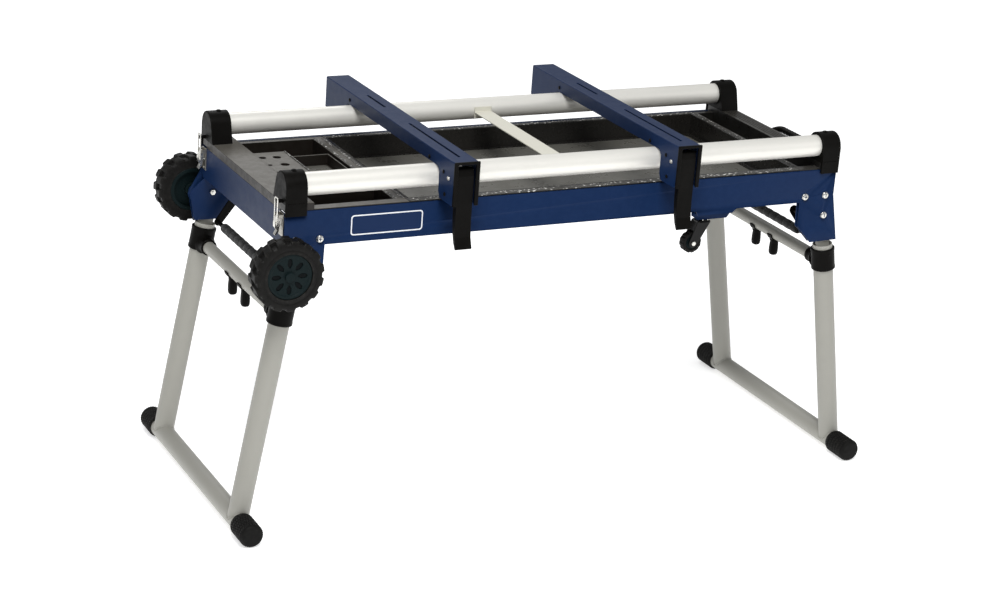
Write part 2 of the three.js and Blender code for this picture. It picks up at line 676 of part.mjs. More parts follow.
// ---------------------------------------------------------------- machine arms
function arm(cx) {
  const x0 = cx - ARM_W / 2;
  const x1 = cx + ARM_W / 2;
  const front = -ARM_FRONT;
  const clear = TUBE_Y + TUBE_R + 3;
  const outline = [
    [front, ARM_TOP],
    [front, TUBE_TOP - JAW_Z + 6],
    [front + 6, TUBE_TOP - JAW_Z],
    [-clear - 8, TUBE_TOP - JAW_Z],
    [-clear, TUBE_TOP - JAW_Z + 14],
    [-clear, ARM_UNDER - 10],
    [-clear + 10, ARM_UNDER],
    [clear - 10, ARM_UNDER],
    [clear, ARM_UNDER - 10],
    [clear, TUBE_TOP - HOOK_Z],
    [ARM_REAR, TUBE_TOP - HOOK_Z],
    [ARM_REAR, ARM_TOP],
  ];
  const body = slabYZ(outline, x0, x1);
  const inside = box(x0 + SHEET, x1 - SHEET, front - 5, ARM_REAR - SHEET, 0, ARM_TOP - SHEET);
  const slots = ARM_SLOTS.map(([y0, y1]) =>
    box(cx - SLOT_W / 2, cx + SLOT_W / 2, y0, y1, ARM_TOP - 9, ARM_TOP + 5),
  );
  const pinZ = TUBE_TOP - LEVER_PIVOT_DROP;
  const pin = rod([x0 + 1, LEVER_PIVOT_Y, pinZ], [x1 - 1, LEVER_PIVOT_Y, pinZ], LEVER_PIN_R, 20);
  return join(cut(body, inside, slots), pin);
}

function armBezel(cx) {
  const half = ARM_W / 2 + 1;
  const y0 = -ARM_FRONT - GAP - BEZEL_T;
  const y1 = -ARM_FRONT - GAP;
  const low = TUBE_TOP - JAW_Z;
  const frame = box(cx - half, cx + half, y0, y1, low, ARM_TOP + 1);
  return cut(frame, box(cx - half + BEZEL_WALL, cx + half - BEZEL_WALL, y0 - 5, y1 + 5, 0, ARM_TOP - 5));
}

function clampLever(cx) {
  const half = ARM_W / 2 + 1 - BEZEL_WALL - RUN;
  const py = LEVER_PIVOT_Y;
  const pz = TUBE_TOP - LEVER_PIVOT_DROP;
  const low = pz - LEVER_LENGTH;
  const outline = [
    ...arcPoints(py, pz, 24, -20, 100, 8),
    [py - 14, pz + 28],
    [py - 22, pz + 24],
    [py - 25, pz + 10],
    [py - 25, low + 60],
    [py - 28, low + 26],
    [py - 37, low + 2],
    [py - 31, low],
    [py - 22, low + 14],
    [py - 15, low + 34],
    [py - 11, low + 62],
    [py - 9, pz - 40],
    [py + 4, pz - 26],
  ];
  const body = slabYZ(outline, cx - half, cx + half);
  return cut(body, rod([cx - 60, py, pz], [cx + 60, py, pz], LEVER_PIN_R + GAP, 20));
}

// ---------------------------------------------------------------- wheels and casters
function tyre() {
  const y0 = -WHEEL_FACE_Y;
  const y1 = y0 + WHEEL_W;
  const mid = (y0 + y1) / 2;
  const outer = ribbedDisc(WHEEL_X, WHEEL_Z, WHEEL_R, LUG_DEPTH, TYRE_LUGS, y0 + 4, mid + 0.5);
  const turned = ribbedDisc(0, 0, WHEEL_R, LUG_DEPTH, TYRE_LUGS, mid - 0.5, y1 - 4)
    .rotate([0, 180 / TYRE_LUGS, 0])
    .translate([WHEEL_X, 0, WHEEL_Z]);
  const core = rod([WHEEL_X, y0, WHEEL_Z], [WHEEL_X, y1, WHEEL_Z], WHEEL_R - LUG_DEPTH, 40);
  const bore = rod([WHEEL_X, y0 - 5, WHEEL_Z], [WHEEL_X, y1 + 5, WHEEL_Z], HUB_R + GAP, 40);
  return cut(join(outer, turned, core), bore);
}

function hub() {
  const face = -WHEEL_FACE_Y + 3;
  const back = -WHEEL_FACE_Y + WHEEL_W;
  const disc = rod([WHEEL_X, face, WHEEL_Z], [WHEEL_X, back, WHEEL_Z], HUB_R, 40);
  const cap = rod([WHEEL_X, face - 4, WHEEL_Z], [WHEEL_X, face + 1, WHEEL_Z], 11, 28);
  const petals = [];
  for (let i = 0; i < HUB_PETALS; i += 1) {
    const petal = slabXZ(
      [
        [17, 0],
        [27, -5.5],
        [41, -4],
        [43, 0],
        [41, 4],
        [27, 5.5],
      ],
      face - 5,
      face + 4,
    );
    petals.push(petal.rotate([0, (360 * i) / HUB_PETALS, 0]).translate([WHEEL_X, 0, WHEEL_Z]));
  }
  const rear = rod([WHEEL_X, back - 12, WHEEL_Z], [WHEEL_X, back + 5, WHEEL_Z], HUB_R - 8, 28);
  const sleeve = rod([WHEEL_X, back - 13, WHEEL_Z], [WHEEL_X, back, WHEEL_Z], AXLE_R + 6, 28);
  const bore = rod([WHEEL_X, face + 4, WHEEL_Z], [WHEEL_X, back + 9, WHEEL_Z], AXLE_R + GAP, 28);
  return cut(join(cut(join(disc, cap), petals, rear), sleeve), bore);
}

function casterFork() {
  const x = CASTER_X;
  const y = -CASTER_Y;
  const axleX = x - CASTER_TRAIL;
  const crownZ = CASTER_TAB_Z - 24;
  const stem = rod([x, y, crownZ], [x, y, CASTER_TAB_Z + 12], KINGPIN_R, 16);
  const race = rod([x, y, crownZ], [x, y, CASTER_TAB_Z - GAP], 12, 16);
  const nut = rod([x, y, crownZ + 4], [x, y, crownZ + 12], 15, 6);
  const gap = CASTER_W / 2 + RUN + 0.7;
  const top = crownZ + 4;
  const crown = box(x - CROWN_REAR, x + 14, y - gap - FORK_T, y + gap + FORK_T, crownZ, top);
  const cheek = [
    [x - CROWN_REAR, top],
    [axleX - 9, CASTER_Z + 6],
    ...arcPoints(axleX, CASTER_Z, 11, 150, 345, 6),
    [x + 14, top],
  ];
  const parts = [stem, race, nut, crown];
  for (const side of [-1, 1]) {
    const inner = y + side * gap;
    parts.push(slabXZ(cheek, inner, inner + side * FORK_T));
  }
  const reach = gap + FORK_T + 4;
  parts.push(rod([axleX, y - reach, CASTER_Z], [axleX, y + reach, CASTER_Z], 4, 12));
  return join(parts);
}

function casterWheel() {
  const axleX = CASTER_X - CASTER_TRAIL;
  const y = -CASTER_Y;
  const half = CASTER_W / 2;
  const tread = ribbedDisc(axleX, CASTER_Z, CASTER_R, 1.2, 12, y - half, y + half);
  const dish = [-1, 1].map((s) =>
    rod([axleX, y + s * (half - 2), CASTER_Z], [axleX, y + s * (half + 2), CASTER_Z], 16, 20),
  );
  const boss = rod([axleX, y - half, CASTER_Z], [axleX, y + half, CASTER_Z], 7.5, 16);
  const bore = rod([axleX, y - 20, CASTER_Z], [axleX, y + 20, CASTER_Z], 4 + GAP, 14);
  return cut(join(cut(tread, dish), boss), bore);
}

// ---------------------------------------------------------------- latches and pull handle
// Built on the left end (-X), front corner.
const latchX = (out) => -FRAME_HALF_X - out;
const LATCH_PIN_Z = PANEL_TOP + LATCH_HINGE_Z;
const LATCH_PIN_X = latchX(LATCH_HINGE_X);

function latchBase() {
  const [z0, z1] = LATCH_BASE.map((z) => PANEL_TOP + z);
  const y0 = -LATCH_Y - LATCH_W / 2;
  const y1 = -LATCH_Y + LATCH_W / 2;
  const plate = box(latchX(GAP + 1.8), latchX(GAP), y0, y1, z0, z1);
  const parts = [plate];
  for (const side of [-1, 1]) {
    const outer = -LATCH_Y + side * (LATCH_W / 2);
    const inner = outer - side * 1.6;
    parts.push(box(latchX(LATCH_HINGE_X + 3), latchX(GAP), inner, outer, LATCH_PIN_Z - 4, z1 - 3));
  }
  const half = LATCH_W / 2 - 1;
  const pinFrom = [LATCH_PIN_X, -LATCH_Y - half, LATCH_PIN_Z];
  parts.push(rod(pinFrom, [LATCH_PIN_X, -LATCH_Y + half, LATCH_PIN_Z], 1.8, 16));
  return join(parts);
}

function latchLever() {
  const half = LATCH_LEVER_W / 2;
  const x = LATCH_PIN_X;
  const tip = LATCH_PIN_Z - LATCH_LEVER_L;
  const outline = [
    ...arcPoints(x, LATCH_PIN_Z, 4, 0, 180, 8),
    [x - WIRE_OUT - 3.5, LATCH_PIN_Z - BAIL_ARM + 6],
    [x - WIRE_OUT - 3.5, LATCH_PIN_Z - BAIL_ARM - 5],
    [x - 3, tip + 12],
    [x - 8, tip + 2],
    [x - 6.5, tip],
    [x + 0.5, tip + 9],
    [x + 2.4, tip + 20],
  ];
  const body = slabXZ(outline, -LATCH_Y - half, -LATCH_Y + half);
  const z = LATCH_PIN_Z - BAIL_ARM;
  const pins = [
    rod([x, -LATCH_Y - half - 2, LATCH_PIN_Z], [x, -LATCH_Y + half + 2, LATCH_PIN_Z], 1.8 + GAP, 16),
    rod(
      [x - WIRE_OUT, -LATCH_Y - half - 2, z],
      [x - WIRE_OUT, -LATCH_Y + half + 2, z],
      WIRE_R + GAP,
      12,
    ),
  ];
  return cut(body, pins);
}

function latchWire() {
  const x = LATCH_PIN_X - WIRE_OUT;
  const low = LATCH_PIN_Z - BAIL_ARM;
  const high = DECK_TOP + GAP + KEEPER_RISE + KEEPER_SLACK + WIRE_R;
  const half = LATCH_LEVER_W / 2 + WIRE_R + 0.6;
  const y = -LATCH_Y;
  const loop = bentRod(
    [
      [x, y, low],
      [x, y - half, low],
      [x, y - half, high],
      [x, y + half, high],
      [x, y + half, low],
      [x, y, low],
    ],
    WIRE_R,
    2.2,
    6,
    26,
  );
  return loop;
}

function pullHandle() {
  const x = FRAME_HALF_X + GAP;
  const z0 = PANEL_TOP - 20;
  const z1 = PANEL_TOP + HANDLE_RISE;
  const out = FRAME_HALF_X + HANDLE_REACH;
  const loop = bentRod(
    [
      [x, -HANDLE_HALF, z0],
      [out - 12, -HANDLE_HALF, z1 - 8],
      [out, -HANDLE_HALF + 16, z1],
      [out, HANDLE_HALF - 16, z1],
      [out - 12, HANDLE_HALF, z1 - 8],
      [x, HANDLE_HALF, z0],
    ],
    HANDLE_R,
    9,
    10,
    22,
  );
  const pads = [-1, 1].map((s) =>
    box(x, x + 5, s * HANDLE_HALF - 15, s * HANDLE_HALF + 15, z0 - 15, z0 + 15),
  );
  const keep = box(x, out + 50, -200, 200, z0 - 60, z1 + 60);
  return join(loop, pads).intersect(keep);
}

// ---------------------------------------------------------------- assembly
const SIDES = [
  ["front", (s) => s],
  ["rear", mirrorY],
];

const rail = frontRail();
const panel = endPanel();
place("rail_front", "blue", rail);
place("rail_rear", "blue", mirrorY(rail));
place("end_panel_right", "blue", panel);
place("end_panel_left", "blue", mirrorX(panel));
place("tray_main", "deck", mainTray());
place("tray_left", "deck", leftTray());
place("tray_right", "deck", rightTray());
place("tube_front", "tube", railTube(-TUBE_Y));
place("tube_rear", "tube", railTube(TUBE_Y));
place("cross_strap", "tube", crossStrap());
place("pull_handle", "plastic", pullHandle());

const frame = legFrame();
const bar = crossbar();
place("leg_frame_right", "leg", frame);
place("leg_frame_left", "leg", mirrorX(frame));
place("crossbar_right", "leg", bar);
place("crossbar_left", "leg", mirrorX(bar));
place("release_bar_right", "plastic", releaseBar());
place("release_bar_left", "plastic", mirrorX(releaseBar()));
place("release_grip_right", "foam", releaseGrip());
place("release_grip_left", "foam", mirrorX(releaseGrip()));

for (const [end, flip] of SIDES) {
  place(`pivot_plate_right_${end}`, "blue", flip(pivotPlate(false)));
  place(`pivot_plate_left_${end}`, "blue", flip(mirrorX(pivotPlate(true))));
  place(`cap_right_${end}`, "plastic", flip(cornerCap(false)));
  place(`cap_left_${end}`, "plastic", flip(mirrorX(cornerCap(true))));
  place(`leg_clamp_right_${end}`, "plastic", flip(legClamp()));
  place(`leg_clamp_left_${end}`, "plastic", flip(mirrorX(legClamp())));
  place(`foot_cap_right_${end}`, "rubber", flip(footCap()));
  place(`foot_cap_left_${end}`, "rubber", flip(mirrorX(footCap())));
  const peg = hangingPeg(end === "front" ? -PEG_SPACING / 2 : PEG_SPACING / 2);
  place(`peg_right_${end}`, "plastic", peg);
  place(`peg_left_${end}`, "plastic", mirrorX(peg));
  place(`tyre_${end}`, "rubber", flip(tyre()));
  place(`hub_${end}`, "hub", flip(hub()));
  place(`caster_fork_${end}`, "zinc", flip(casterFork()));
  place(`caster_wheel_${end}`, "rubber", flip(casterWheel()));
  place(`latch_base_${end}`, "zinc", flip(latchBase()));
  place(`latch_lever_${end}`, "zinc", flip(latchLever()));
  place(`latch_wire_${end}`, "zinc", flip(latchWire()));
}

ARM_X.forEach((cx, i) => {
  const end = i === 0 ? "left" : "right";
  place(`arm_${end}`, "blue", arm(cx));
  place(`arm_bezel_${end}`, "plastic", armBezel(cx));
  place(`clamp_lever_${end}`, "plastic", clampLever(cx));
});

export default stand;
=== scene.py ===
"""Looks of the folding machine stand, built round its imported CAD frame.

Shapes are written in stand millimetres: +X toward the pull handle, the stand symmetric about y = 0.
emit() turns them into row-frame metres. Pieces for the right-hand front corner are mirrored to the others.
"""
import json
import math

import bmesh
import bpy
from mathutils import Matrix, Vector


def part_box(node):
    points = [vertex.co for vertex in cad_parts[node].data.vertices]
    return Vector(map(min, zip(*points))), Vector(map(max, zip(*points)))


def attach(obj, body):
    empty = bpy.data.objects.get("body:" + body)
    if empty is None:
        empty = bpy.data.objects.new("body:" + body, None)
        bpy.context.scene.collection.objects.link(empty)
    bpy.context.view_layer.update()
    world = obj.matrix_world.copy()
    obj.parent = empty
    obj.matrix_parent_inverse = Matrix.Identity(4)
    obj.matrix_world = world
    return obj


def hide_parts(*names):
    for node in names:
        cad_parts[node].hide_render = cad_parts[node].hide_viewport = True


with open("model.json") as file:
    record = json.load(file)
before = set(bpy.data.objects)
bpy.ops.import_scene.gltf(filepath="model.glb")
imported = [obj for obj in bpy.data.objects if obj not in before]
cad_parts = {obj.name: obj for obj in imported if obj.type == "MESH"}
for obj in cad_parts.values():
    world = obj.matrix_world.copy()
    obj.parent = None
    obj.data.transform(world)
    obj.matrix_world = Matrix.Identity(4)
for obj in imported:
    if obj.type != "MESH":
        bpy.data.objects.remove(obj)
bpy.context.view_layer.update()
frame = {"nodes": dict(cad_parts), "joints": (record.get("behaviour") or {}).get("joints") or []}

MM = 0.001
JOINTS = {j["name"]: [c / MM for c in j["pos_m"]] for j in frame["joints"] if "pos_m" in j}
SHIFT_Y = (JOINTS["wheel_front_spin"][1] + JOINTS["wheel_rear_spin"][1]) / 2


def node_box(name):
    """Lowest and highest corner of a CAD node, in stand millimetres."""
    lo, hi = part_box(name)
    move = Vector((0, SHIFT_Y, 0))
    return lo / MM - move, hi / MM - move


# ------------------------------------------------------------------ sizes that the frame gives
PIVOT_X, _, PIVOT_Z = JOINTS["leg_fold_right"]
RAIL_BOX = node_box("rail_front")
RAIL_Y = 258.0
RAIL_TOP = RAIL_BOX[1].z
RAIL_BOTTOM = PIVOT_Z + 35
FRAME_X = 690.0
DECK_TOP = node_box("tray_right")[1].z
PANEL_TOP = node_box("end_panel_right")[1].z
TUBE_BOX = node_box("tube_front")
TUBE_Z = (TUBE_BOX[0].z + TUBE_BOX[1].z) / 2
TUBE_Y = 231.0
TUBE_R = 25.0
TUBE_TOP = TUBE_Z + TUBE_R
ARM_TOP = node_box("arm_left")[1].z
ARM_X = {"left": JOINTS["clamp_left"][0], "right": JOINTS["clamp_right"][0]}
WHEEL_X, _, WHEEL_Z = JOINTS["wheel_front_spin"]
SPLAY = math.radians(9.9)
DOWN = (math.sin(SPLAY), -math.cos(SPLAY))
ACROSS = (math.cos(SPLAY), math.sin(SPLAY))
LEG_LENGTH = 593.0
LEG_R = 23.5
LEG_Y = 251.0
LEG_TOP = 74.5
FOOT_R = 27.0
FOOT_END = 346.0
CROSS_DIST = 120.0
CROSS_R = 14.5
CLAMP_FROM, CLAMP_TO = 84.0, 138.0
WIRE_R = 1.6
CAP_X = -node_box("cap_left_front")[1].x
CAP_R = node_box("cap_right_front")[1].z - TUBE_Z - 2.5
CAP_BORE = node_box("tube_front")[1].x + 1 - CAP_X
WHEEL_R = (node_box("tyre_front")[1].z - node_box("tyre_front")[0].z) / 2
CASTER_R = (node_box("caster_wheel_front")[1].z - node_box("caster_wheel_front")[0].z) / 2


# ------------------------------------------------------------------ outlines and solids
def on_leg(distance, across=0.0):
    return (
        PIVOT_X + DOWN[0] * distance + ACROSS[0] * across,
        PIVOT_Z + DOWN[1] * distance + ACROSS[1] * across,
    )


def arc(cx, cy, r, start, end, steps):
    turn = [math.radians(start + (end - start) * i / steps) for i in range(steps + 1)]
    return [(cx + r * math.cos(a), cy + r * math.sin(a)) for a in turn]


def fillet(points, radius, steps=5, closed=True, skip=()):
    """Rounds the corners of a 2-D line."""
    out, n = [], len(points)
    for i, p in enumerate(points):
        if (not closed and i in (0, n - 1)) or i in skip:
            out.append(tuple(p))
            continue
        a, b, c = Vector(points[i - 1]), Vector(p), Vector(points[(i + 1) % n])
        u, w = a - b, c - b
        if u.length < 1e-6 or w.length < 1e-6:
            continue
        angle = u.angle(w)
        if angle > math.radians(172):
            out.append(tuple(p))
            continue
        reach = min(radius / math.tan(angle / 2), u.length * 0.48, w.length * 0.48)
        start, end = b + u.normalized() * reach, b + w.normalized() * reach
        for k in range(steps + 1):
            t = k / steps
            q = start * (1 - t) ** 2 + b * 2 * t * (1 - t) + end * t * t
            out.append(tuple(q))
    return out


def round_rect(x0, y0, x1, y1, radius, steps):
    return fillet([(x0, y0), (x1, y0), (x1, y1), (x0, y1)], radius, steps)


def skin_rings(bm, rings, closed=False):
    """Quads from each ring of vertices to the next; closed also joins the last to the first."""
    pairs = list(zip(rings, rings[1:])) + ([(rings[-1], rings[0])] if closed else [])
    for a, b in pairs:
        for k in range(len(a)):
            m = (k + 1) % len(a)
            bm.faces.new((a[k], a[m], b[m], b[k]))


PLANES = {
    "x": lambda u, v, w: (w, u, v),
    "y": lambda u, v, w: (u, w, v),
    "z": lambda u, v, w: (u, v, w),
}


def prism(outline, axis, low, high):
    """A flat outline pushed along one axis. The outline is the other two, in x, y, z order."""
    bm = bmesh.new()
    place = PLANES[axis]
    loops = [[bm.verts.new(place(u, v, w)) for u, v in outline] for w in (low, high)]
    n = len(outline)
    bm.faces.new(loops[0])
    bm.faces.new(loops[1])
    for i in range(n):
        j = (i + 1) % n
        bm.faces.new((loops[0][i], loops[0][j], loops[1][j], loops[1][i]))
    bmesh.ops.recalc_face_normals(bm, faces=bm.faces)
    return bm


def block(x0, x1, y0, y1, z0, z1):
    return prism([(x0, y0), (x1, y0), (x1, y1), (x0, y1)], "z", z0, z1)


def basis(direction):
    w = Vector(direction).normalized()
    u = w.orthogonal().normalized() if abs(w.z) > 0.9 else w.cross(Vector((0, 0, 1))).normalized()
    return u, w.cross(u), w


def lathe(origin, direction, profile, seg=64, ring=False):
    """Turns (radius, distance) points about an axis. ring joins the last point to the first."""
    bm = bmesh.new()
    u, v, w = basis(direction)
    o = Vector(origin)
    rows = []
    for r, t in profile:
        if r < 1e-6:
            rows.append([bm.verts.new(o + w * t)])
            continue
        turn = [2 * math.pi * k / seg for k in range(seg)]
        rows.append([bm.verts.new(o + w * t + (u * math.cos(a) + v * math.sin(a)) * r) for a in turn])
    pairs = list(zip(rows, rows[1:]))
    if ring:
        pairs.append((rows[-1], rows[0]))
    for a, b in pairs:
        for k in range(seg):
            m = (k + 1) % seg
            if len(a) == 1 and len(b) == 1:
                continue
            if len(a) == 1:
                bm.faces.new((a[0], b[m], b[k]))
            elif len(b) == 1:
                bm.faces.new((a[k], a[m], b[0]))
            else:
                bm.faces.new((a[k], a[m], b[m], b[k]))
    bmesh.ops.recalc_face_normals(bm, faces=bm.faces)
    return bm


def rod(a, b, r, seg=48, edge=0.6):
    a, b = Vector(a), Vector(b)
    length = (b - a).length
    profile = [(0, 0), *fillet([(0, 0), (r, 0), (r, length), (0, length)], edge, 3, closed=False)[1:-1]]
    return lathe(a, b - a, [*profile, (0, length)], seg)


def round_path(points, radius, steps=8):
    at = [Vector(p) for p in points]
    out = [at[0]]
    for a, b, c in zip(at, at[1:], at[2:]):
        reach = min(radius, (a - b).length * 0.48, (c - b).length * 0.48)
        start, end = b + (a - b).normalized() * reach, b + (c - b).normalized() * reach
        for k in range(steps + 1):
            t = k / steps
            out.append(start * (1 - t) ** 2 + b * 2 * t * (1 - t) + end * t * t)
    return [*out, at[-1]]


def sweep(points, r, seg=20, closed=False):
    """A round bar along 3-D points, with flat ends unless it closes on itself."""
    bm = bmesh.new()
    n = len(points)
    u = None
    rows = []
    for i, p in enumerate(points):
        before = points[i - 1] if closed or i else p
        after = points[(i + 1) % n] if closed or i < n - 1 else p
        t = (after - before).normalized()
        u = basis(t)[0] if u is None else (u - t * u.dot(t)).normalized()
        v = t.cross(u)
        turn = [2 * math.pi * k / seg for k in range(seg)]
        rows.append([bm.verts.new(p + (u * math.cos(a) + v * math.sin(a)) * r) for a in turn])
    skin_rings(bm, rows, closed)
    if not closed:
        bm.faces.new(rows[0])
        bm.faces.new(rows[-1])
    bmesh.ops.recalc_face_normals(bm, faces=bm.faces)
    return bm


def as_object(bm, name="scratch"):
    mesh = bpy.data.meshes.new(name)
    bm.to_mesh(mesh)
    obj = bpy.data.objects.new(name, mesh)
    bpy.context.scene.collection.objects.link(obj)
    return obj


def carve(bm, *cutters):
    """bm less the cutters."""
    base = as_object(bm)
    scratch = [base]
    for c in cutters:
        tool = as_object(c)
        scratch.append(tool)
        m = base.modifiers.new("cut", "BOOLEAN")
        m.operation, m.solver, m.object = "DIFFERENCE", "EXACT", tool
    bpy.context.view_layer.update()
    evaluated = base.evaluated_get(bpy.context.evaluated_depsgraph_get())
    out = bmesh.new()
    out.from_mesh(evaluated.to_mesh())
    evaluated.to_mesh_clear()
    for o in scratch:
        mesh = o.data
        bpy.data.objects.remove(o)
        bpy.data.meshes.remove(mesh)
    bmesh.ops.dissolve_limit(out, angle_limit=math.radians(0.4), verts=out.verts, edges=out.edges)
    return out


def soften(bm, width, segments=2, angle=32, pick=None):
    """Rounds the sharp edges, or those that pick chooses."""
    limit = math.radians(angle)
    edges = [
        e
        for e in bm.edges
        if len(e.link_faces) == 2
        and e.calc_face_angle(0) > limit
        and (pick is None or pick((e.verts[0].co + e.verts[1].co) / 2, e.verts[1].co - e.verts[0].co))
    ]
    if edges:
        bmesh.ops.bevel(
            bm, geom=edges, offset=width, segments=segments, profile=0.5, affect="EDGES", clamp_overlap=True
        )
    return bm


def merge(*parts):
    out = bmesh.new()
    for p in parts:
        mesh = bpy.data.meshes.new("scratch")
        p.to_mesh(mesh)
        out.from_mesh(mesh)
        bpy.data.meshes.remove(mesh)
    return out


def skin(node):
    """A clean copy of a CAD node's shape, in stand millimetres, with its flat faces whole."""
    bm = bmesh.new()
    bm.from_mesh(frame["nodes"][node].data)
    bm.transform(Matrix.Scale(1 / MM, 4))
    bm.transform(Matrix.Translation((0, -SHIFT_Y, 0)))
    bmesh.ops.remove_doubles(bm, verts=bm.verts, dist=0.004)
    bmesh.ops.dissolve_limit(bm, angle_limit=math.radians(0.5), verts=bm.verts, edges=bm.edges)
    return bm


def emit(name, bm, look, body, node=None, mirror=(1, 1), smooth=34):
    """Makes the piece: mirrored, in row-frame metres, shaded, riding on its body."""
    bm = bm.copy()
    sx, sy = mirror
    bm.transform(Matrix.Diagonal((sx * MM, sy * MM, MM, 1)))
    if sx * sy < 0:
        bmesh.ops.reverse_faces(bm, faces=bm.faces)
    bm.transform(Matrix.Translation((0, SHIFT_Y * MM, 0)))
    obj = as_object(bm, name)
    obj.data.polygons.foreach_set("use_smooth", [True] * len(obj.data.polygons))
    obj.data.set_sharp_from_angle(angle=math.radians(smooth))
    obj.data.materials.append(look)
    weigh = obj.modifiers.new("normals", "WEIGHTED_NORMAL")
    weigh.keep_sharp = True
    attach(obj, body)
    if node:
        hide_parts(*([node] if isinstance(node, str) else node))
    return obj


# ------------------------------------------------------------------ materials
class Look:
    """A Principled material whose colour, roughness and bump come from layers of noise."""

    def __init__(self, name, roughness=0.5, metallic=0.0, **sockets):
        self.mat = bpy.data.materials.new(name)
        self.mat.use_nodes = True
        self.nt = self.mat.node_tree
        self.bsdf = self.nt.nodes["Principled BSDF"]
        self.bsdf.inputs["Roughness"].default_value = roughness
        self.bsdf.inputs["Metallic"].default_value = metallic
        for key, value in sockets.items():
            self.bsdf.inputs[key.replace("_", " ")].default_value = value
        self.coord = self.nt.nodes.new("ShaderNodeTexCoord").outputs["Object"]
        self.normal = None

    def node(self, kind, **props):
        n = self.nt.nodes.new(kind)
        for key, value in props.items():
            setattr(n, key, value)
        return n

    def link(self, a, b):
        self.nt.links.new(a, b)

    def stretched(self, scale):
        m = self.node("ShaderNodeMapping")
        m.inputs["Scale"].default_value = scale
        self.link(self.coord, m.inputs["Vector"])
        return m.outputs["Vector"]

    def noise(self, scale, detail=3.0, rough=0.5, stretch=None, distortion=0.0):
        n = self.node("ShaderNodeTexNoise")
        n.inputs["Scale"].default_value = scale
        n.inputs["Detail"].default_value = detail
        n.inputs["Roughness"].default_value = rough
        n.inputs["Distortion"].default_value = distortion
        self.link(self.stretched(stretch) if stretch else self.coord, n.inputs["Vector"])
        return n.outputs["Fac"]

    def cells(self, scale, stretch=None):
        n = self.node("ShaderNodeTexVoronoi", feature="F1")
        n.inputs["Scale"].default_value = scale
        self.link(self.stretched(stretch) if stretch else self.coord, n.inputs["Vector"])
        return n.outputs["Distance"]

    def ramp(self, value, low, high, out_low=0.0, out_high=1.0):
        n = self.node("ShaderNodeMapRange")
        n.interpolation_type = "SMOOTHSTEP"
        for key, number in zip(("From Min", "From Max", "To Min", "To Max"), (low, high, out_low, out_high)):
            n.inputs[key].default_value = number
        self.link(value, n.inputs["Value"])
        return n.outputs["Result"]

    def times(self, a, b):
        n = self.node("ShaderNodeMath", operation="MULTIPLY")
        self.link(a, n.inputs[0])
        if isinstance(b, (int, float)):
            n.inputs[1].default_value = b
        else:
            self.link(b, n.inputs[1])
        return n.outputs[0]

    def edges(self, low=0.53, high=0.6):
        return self.ramp(self.node("ShaderNodeNewGeometry").outputs["Pointiness"], low, high)

    def top_reflection_mask(self, low, high):
        """1 on level faces above a height in metres, 0 on walls and in deep recesses."""
        facing = self.node("ShaderNodeSeparateXYZ")
        self.link(self.node("ShaderNodeTexCoord").outputs["Normal"], facing.inputs[0])
        place = self.node("ShaderNodeSeparateXYZ")
        self.link(self.coord, place.inputs[0])
        level = self.ramp(facing.outputs["Z"], 0.5, 0.9)
        return self.times(level, self.ramp(place.outputs["Z"], low, high))

    def colour(self, base, *layers):
        """base, then (colour, mask) layers over it."""
        n = self.node("ShaderNodeRGB")
        n.outputs[0].default_value = (*base, 1)
        out = n.outputs[0]
        for tint, mask in layers:
            mix = self.node("ShaderNodeMix", data_type="RGBA")
            self.link(mask, mix.inputs["Factor"])
            self.link(out, mix.inputs[6])
            mix.inputs[7].default_value = (*tint, 1)
            out = mix.outputs[2]
        self.link(out, self.bsdf.inputs["Base Color"])
        return self

    def roughness(self, value):
        self.link(value, self.bsdf.inputs["Roughness"])
        return self

    def bump(self, height, strength, distance):
        n = self.node("ShaderNodeBump")
        n.inputs["Strength"].default_value = strength
        n.inputs["Distance"].default_value = distance
        self.link(height, n.inputs["Height"])
        if self.normal:
            self.link(self.normal, n.inputs["Normal"])
        self.normal = n.outputs["Normal"]
        self.link(self.normal, self.bsdf.inputs["Normal"])
        return self


def powder_coat(name, base, light, dark, rough, gloss=0.3):
    """Sprayed coat on sheet or tube: orange peel, faint shade drift, edge rub and handling marks."""
    look = Look(name, rough, Specular_IOR_Level=gloss)
    drift = look.ramp(look.noise(5, 4, 0.6), 0.35, 0.7)
    rub = look.times(look.edges(0.54, 0.64), look.ramp(look.noise(70, 5, 0.7), 0.4, 0.62))
    marks = look.ramp(look.noise(26, 6, 0.75, stretch=(1, 7, 5)), 0.66, 0.74)
    shade = (dark, look.times(drift, 0.16))
    look.colour(base, shade, (light, look.times(marks, 0.03)), (light, look.times(rub, 0.03)))
    look.roughness(look.ramp(look.noise(38, 5, 0.6), 0.3, 0.75, rough - 0.03, rough + 0.05))
    look.bump(look.noise(420, 2, 0.4), 0.1, 0.0004)
    return look.bump(look.noise(1500, 1, 0.4), 0.06, 0.0003).mat


def moulded(name, base, light, rough, grain=1700, depth=0.22, gloss=0.3, top=None):
    """Injection moulding: fine spark-eroded grain, faint scuffs, slow waviness in flat walls.

    top is the colour painted on its level top faces as a painted reflection of the bright surroundings, where
    that is given.
    """
    look = Look(name, rough, Specular_IOR_Level=gloss)
    scuff = look.times(look.edges(0.53, 0.62), look.ramp(look.noise(120, 5, 0.7), 0.42, 0.66))
    dust = look.ramp(look.noise(11, 5, 0.65), 0.45, 0.8)
    # Painted reflection: level top faces take the lighter top colour in place of the gloss reflection of the
    # bright surroundings.
    painted_top_reflection = [(top, look.top_reflection_mask((RAIL_TOP - 8) * MM, (RAIL_TOP - 3) * MM))] if top else []
    look.colour(base, *painted_top_reflection, (light, look.times(dust, 0.1)), (light, look.times(scuff, 0.08)))
    look.roughness(look.ramp(look.noise(60, 4, 0.6), 0.3, 0.7, rough - 0.07, rough + 0.09))
    look.bump(look.noise(14, 2, 0.4), 0.08, 0.003)
    return look.bump(look.noise(grain, 2, 0.5), depth, 0.0002).mat


